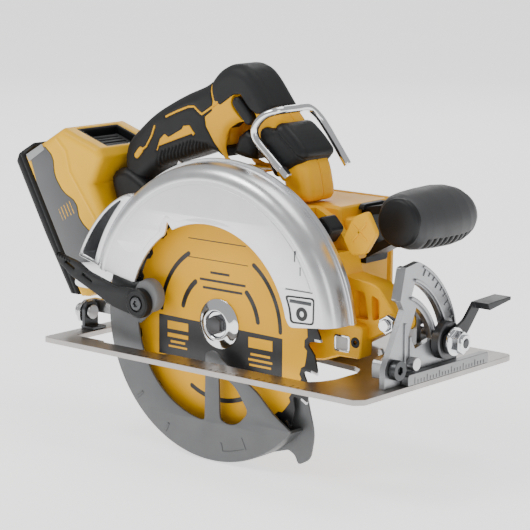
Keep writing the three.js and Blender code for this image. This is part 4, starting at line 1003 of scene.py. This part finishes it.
def battery():
    step = 0.9
    grid = field_grid((-216, 8, 0), (-88, 84, 146), step)
    x, y, z = grid
    u, v = pack_axes(x, z)
    away = np.abs(y - PACK_MID)
    case = rounded_slab(to_outline(PACK_SIDE, u, v), away, PACK_HALF, 5)
    along, out = (u + 193) * 0.743 + (v + 84) * 0.669, -(u + 193) * 0.669 + (v + 84) * 0.743
    scoop = rounded_slab(np.maximum(np.abs(along - 20.5) - 16.5, np.abs(y - PACK_MID) - 22), np.abs(out),
                         15, 2)
    case = smooth_max(case, -scoop, 1.6)
    label = rounded_slab(to_outline(eased(LABEL, 1), u, v), np.abs(y - 10), 1.1, 0.3)
    case = np.maximum(case, -label)
    ridge = np.maximum(to_line(RIDGE, u, v) - 0.9, np.abs(y - 10) - 0.9)
    case = smooth_min(case, ridge, 0.8)
    ticks = np.maximum(np.abs((v + 116) % 3.4 - 1.7) - 0.55, np.abs(v + 110) - 8)
    ticks = np.maximum(np.maximum(ticks, np.abs(u + 136) - 5.5), np.abs(y - 10) - 0.7)
    case = np.minimum(case, ticks)
    field_piece("battery_shell", np.maximum(case, -131.9 - v), grid, step, "battery_yellow", "battery",
                "battery_case")
    lining = np.maximum(np.maximum(scoop - 0.4, -(scoop + LINING)), out + 0.2)
    field_piece("latch_lining", lining, grid, step, "black", "battery")
    latch(grid, along, out)
    loop = [leaning(a, b) for a, b in eased(LABEL, 1)]
    plate("battery_label", [loop], 9.7, 10.8, "label", "battery", bevel=0.25)
    strip = [leaning(a, b) for a, b in ((-191.5, -128), (-191.5, -108.6), (-186.5, -108), (-185.5, -128))]
    plate("battery_label_strip", [strip], 9.3, 10.1, "label_pale", "battery", bevel=0.15)
    base = [(-197.5, -120), (-197.5, -138), (-193, -144), (-130, -144), (-76, -142), (-73, -139),
            (-73, -131.6), (-193.4, -131.6),
            (-193.4, -120)]
    x, y, z = field_grid((-222, 8, 0), (-118, 84, 134), 0.9)
    u, v = pack_axes(x, z)
    away = np.abs(y - PACK_MID)
    bumper = rounded_slab(to_outline(base, u, v), away, 35, 4)
    groove = np.abs(v + 136.2) - 0.5
    bumper = smooth_max(bumper, -np.maximum(groove, -bumper - 0.7), 0.4)
    field_piece("battery_base_bumper", bumper, (x, y, z), 0.9, "black", "battery", "battery_bumper")


# ---------------------------------------------------------------- battery foot, gear case and guard details

RECEPTACLE = [(-134, 89), (-127, 97), (-116, 98.5), (-104, 93), (-94, 87), (-86, 66), (-94, 40), (-110, 34),
              (-122, 58)]


def receptacle():
    step = 0.8
    grid = field_grid((-138, 22, 30), (-84, 70, 102), step)
    x, y, z = grid
    flat, away = to_outline(eased(RECEPTACLE, 1), x, z), np.abs(y - HANDLE_MID)
    body = rounded_slab(flat, away, 21.5, 6)
    step_line = np.abs(x * 0.5 - z * 0.86 + 118) - 0.6
    body = smooth_max(body, -np.maximum(step_line, -body - 0.9), 0.4)
    field_piece("battery_foot", body, grid, step, "black", "saw_body", "battery_receptacle")
    insert = rounded([(-116, 62), (-110, 64), (-107, 56), (-113, 53)], 1.5, 4)
    plate("battery_foot_insert", [insert], 23.8, 26, "yellow", "saw_body", bevel=0.4)


def spindle_lock():
    low, high = ((Vector(corner) - ARBOR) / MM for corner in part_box("spindle_lock_button"))
    x, z = (low.x + high.x) / 2, (low.z + high.z) / 2
    feet = [z + i * 3 - 5.3 for i in range(4)]
    ribs = [block_mesh(x - 4.2, x + 4.2, low.y - 0.7, low.y + 0.8, foot, foot + 1.4, 0.3) for foot in feet]
    finished("spindle_lock_ribs", joined(*ribs), "black", "spindle_lock")


def gear_case_details():
    boss = rounded([(95.8, 71), (104.6, 87), (116, 92), (124.5, 77), (115, 62), (103, 60)], 3, 5)
    plate("bracket_boss", [boss], 16.6, 21.5, "yellow", "saw_body", bevel=1.0, rounds=3)
    arms = []
    for a, b, c, d in ((104, 70, 116, 84), (104, 82, 117, 71)):
        arms.append(plate_mesh([rounded(stroke((a, b), (c, d), 0.9), 0.7, 3)], 16.0, 17.2, "y", 0.25, 2))
    finished("bracket_boss_cross", joined(*arms), "yellow", "saw_body")
    nose = (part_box("led_lens")[0][1] - ARBOR.y) / MM
    frame_loops = [rounded([(93.8, -7.2), (107.2, -7.2), (107.2, 4.7), (93.8, 4.7)], 2, 4),
                   rounded([(95.4, -5.6), (105.6, -5.6), (105.6, 3.1), (95.4, 3.1)], 1.2, 4)]
    plate("led_frame", frame_loops, nose - 0.6, nose + 0.6, "chrome", "saw_body", bevel=0.3)
    ring = [(1.6, nose - 0.4), (3.5, nose - 0.4), (3.9, nose), (3.9, nose + 1), (1.6, nose + 1)]
    turned("screw_hole_ring", ring, "black", "saw_body", centre=(111.8, 0.8), steps=40)


def guard_badge():
    outline = rounded([(76.5, 14), (97, 15), (97.5, 34), (71.5, 33), (75, 24)], 3, 5)
    inner = rounded([(77.9, 15.3), (95.8, 16.2), (96.2, 32.7), (73.3, 31.8), (76.5, 24)], 2.2, 5)
    plate("guard_badge_edge", [outline, inner], GUARD_NEAR - 0.3, GUARD_NEAR + 0.2, "print", "saw_body",
          bevel=0.08, rounds=1)
    wheel = [(2.0, GUARD_NEAR - 0.3), (4.8, GUARD_NEAR - 0.3), (4.8, GUARD_NEAR + 0.2),
             (2.0, GUARD_NEAR + 0.2)]
    turned("guard_badge_wheel", wheel, "print", "saw_body", centre=(86.5, 21.5), steps=48)
    marks = []
    # The bar at z 37.0 to 37.6 is painted shade: a dark shadow line just under the lower edge of the raised
    # guard panel, not a mark on the face. The other bars are dark marks on the face.
    for a, b, c, d in ((76, 28.4, 94.5, 30.6), (72, 37.0, 95.5, 37.6), (79.6, 57, 80.6, 64.5),
                       (84.6, 48, 85.4, 54)):
        marks.append(plate_mesh([rectangle(a, b, c, d)], GUARD_NEAR - 0.72, GUARD_NEAR + 0.2, "y", 0.05, 1))
    finished("guard_face_marks_and_painted_shadow_line", joined(*marks), "dark", "saw_body")


# ---------------------------------------------------------------- bevel quadrant and shoe graduations

QUADRANT = {"y": 2.5, "z": -10.2, "face": 152}


def quadrant():
    centre = Vector((QUADRANT["y"], QUADRANT["z"]))
    face = QUADRANT["face"]
    pieces = []
    for radius, half, start, end, rise in ((62.4, 1.1, 5, 69, 1.6), (49.6, 1.1, 5, 69, 1.6),
                                           (73.4, 1.0, 4, 64, 1.0)):
        loop = [tuple(Vector(p) + centre) for p in slot_loop(radius, half, start, end, 40)]
        pieces.append(plate_mesh([loop], face - 0.3, face + rise, "x", 0.35, 2))
    for degree in range(0, 51, 5):
        angle = 62 - degree
        inner, outer = (67.6 if degree % 15 == 0 else 69.6), 72.2
        first, last = (Vector(arc(r, angle, angle, 1)[0]) + centre for r in (inner, outer))
        pieces.append(plate_mesh([stroke(first, last, 0.4)], face - 0.2, face + 0.8, "x", 0.15, 1))
    for y, low, high in ((14, -9, 20), (20, -9, 10)):
        loop = rounded(rectangle(y - 1, low, y + 1, high), 0.9, 3)
        pieces.append(plate_mesh([loop], face - 0.3, face + 1.2, "x", 0.35, 2))
    finished("quadrant_ribs", joined(*pieces), "cast", "shoe")
    tip = (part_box("bevel_bolt")[1][0] - ARBOR.x) / MM
    ring = [(3.6, tip + 0.2), (5.4, tip + 0.2), (5.9, tip - 0.4), (5.9, tip - 1.5), (3.6, tip - 1.5)]
    turned("bevel_nut_ring", ring, "chrome", "shoe", centre=(57.2, 1.9), axis="x", steps=48)
    core = [(0, tip + 0.5), (2.2, tip + 0.5), (2.6, tip + 0.1), (3.7, tip + 0.1), (3.7, tip - 1),
            (0, tip - 1)]
    turned("bevel_nut_core", core, "dark", "shoe", centre=(57.2, 1.9), axis="x", steps=40)
    washer = [(5, 152.2), (12.6, 152.2), (13.4, 152.8), (13.4, 158.6), (12.6, 159.6), (5, 159.6)]
    turned("bevel_washer", washer, "dark_bolt", "shoe", centre=(57.2, 1.9), axis="x", steps=64)


def shoe_marks():
    ticks = []
    half, rail_foot, shoe_edge = 0.25, -21.6, -42.4
    for i in range(24):
        y = 18 + i * 3.6
        top = rail_foot + (4.4 if i % 4 == 0 else 2.6)
        ticks.append(plate_mesh([rectangle(y - half, rail_foot, y + half, top)], 158.3, 158.6, "x", 0.05, 1))
    for i in range(30):
        x = -52 + i * 6
        end = shoe_edge + (5 if i % 5 == 0 else 3)
        ticks.append(plate_mesh([rectangle(x - half, shoe_edge, x + half, end)], -22.6, -22.35, "z", 0.05, 1))
    finished("shoe_graduations", joined(*ticks), "dark_bolt", "shoe")


# ---------------------------------------------------------------- CAD nodes that are shown as they are

SHOWN = {
    "sole": ["shoe_plate"],
    "cast": ["bevel_quadrant", "front_trunnion"],
    "rail": ["front_rail"],
    "steel": ["bevel_stop_pin", "rear_pivot_pin", "depth_bracket", "guard_spring", "spindle", "rotor",
              "motor_shaft", "spindle_front_bearing", "spindle_rear_bearing", "motor_front_bearing",
              "motor_rear_bearing", "inner_flange", "fence_clamp_screw"],
    "chrome": ["bevel_bolt", "bevel_nut", "depth_pivot_bolt", "depth_pivot_nut", "depth_bolt"],
    "dark": ["bevel_pivot_pin", "rear_pivot_bracket", "controller", "output_gear"],
    "lever": ["bevel_lever"],
    "black": ["depth_lever", "trigger_switch", "aux_handle_bracket", "cooling_fan",
              "spindle_lock_button"],
    "yellow": ["gear_case", "motor_housing", "motor_end_cap"],
    "lens": ["led_lens"],
    "copper": ["stator"],
}
EDGE = {"gear_case": 1.0, "motor_housing": 1.0, "motor_end_cap": 0.8, "shoe_plate": 0.25,
        "bevel_quadrant": 0.5,
        "spindle_lock_button": 0.9}


def soften(node, width):
    """Rounds a CAD node's sharp edges without touching its own mesh."""
    weld = node.modifiers.new("weld", "WELD")
    weld.merge_threshold = 1e-5
    flat = node.modifiers.new("flat", "DECIMATE")
    flat.decimate_type = "DISSOLVE"
    flat.angle_limit = 1.5 * DEG
    bevel = node.modifiers.new("edges", "BEVEL")
    bevel.width = width * MM
    bevel.segments = 2
    bevel.limit_method = "ANGLE"
    bevel.angle_limit = 28 * DEG
    bevel.harden_normals = True
    normal = node.modifiers.new("normals", "WEIGHTED_NORMAL")
    normal.keep_sharp = True


def show_nodes():
    for look, names in SHOWN.items():
        for name in names:
            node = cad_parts[name]
            node.data.materials.clear()
            node.data.materials.append(LOOK[look])
            for polygon in node.data.polygons:
                polygon.use_smooth = True
            soften(node, EDGE.get(name, 0.35))


make_looks()
camera()
studio()
show_nodes()
upper_guard()
saw_blade()
blade_fixings()
lower_guard()
guard_lever()
handle()
trigger()
knob()
hook()
hook_cuff()
battery()
receptacle()
spindle_lock()
gear_case_details()
guard_badge()
quadrant()
shoe_marks()
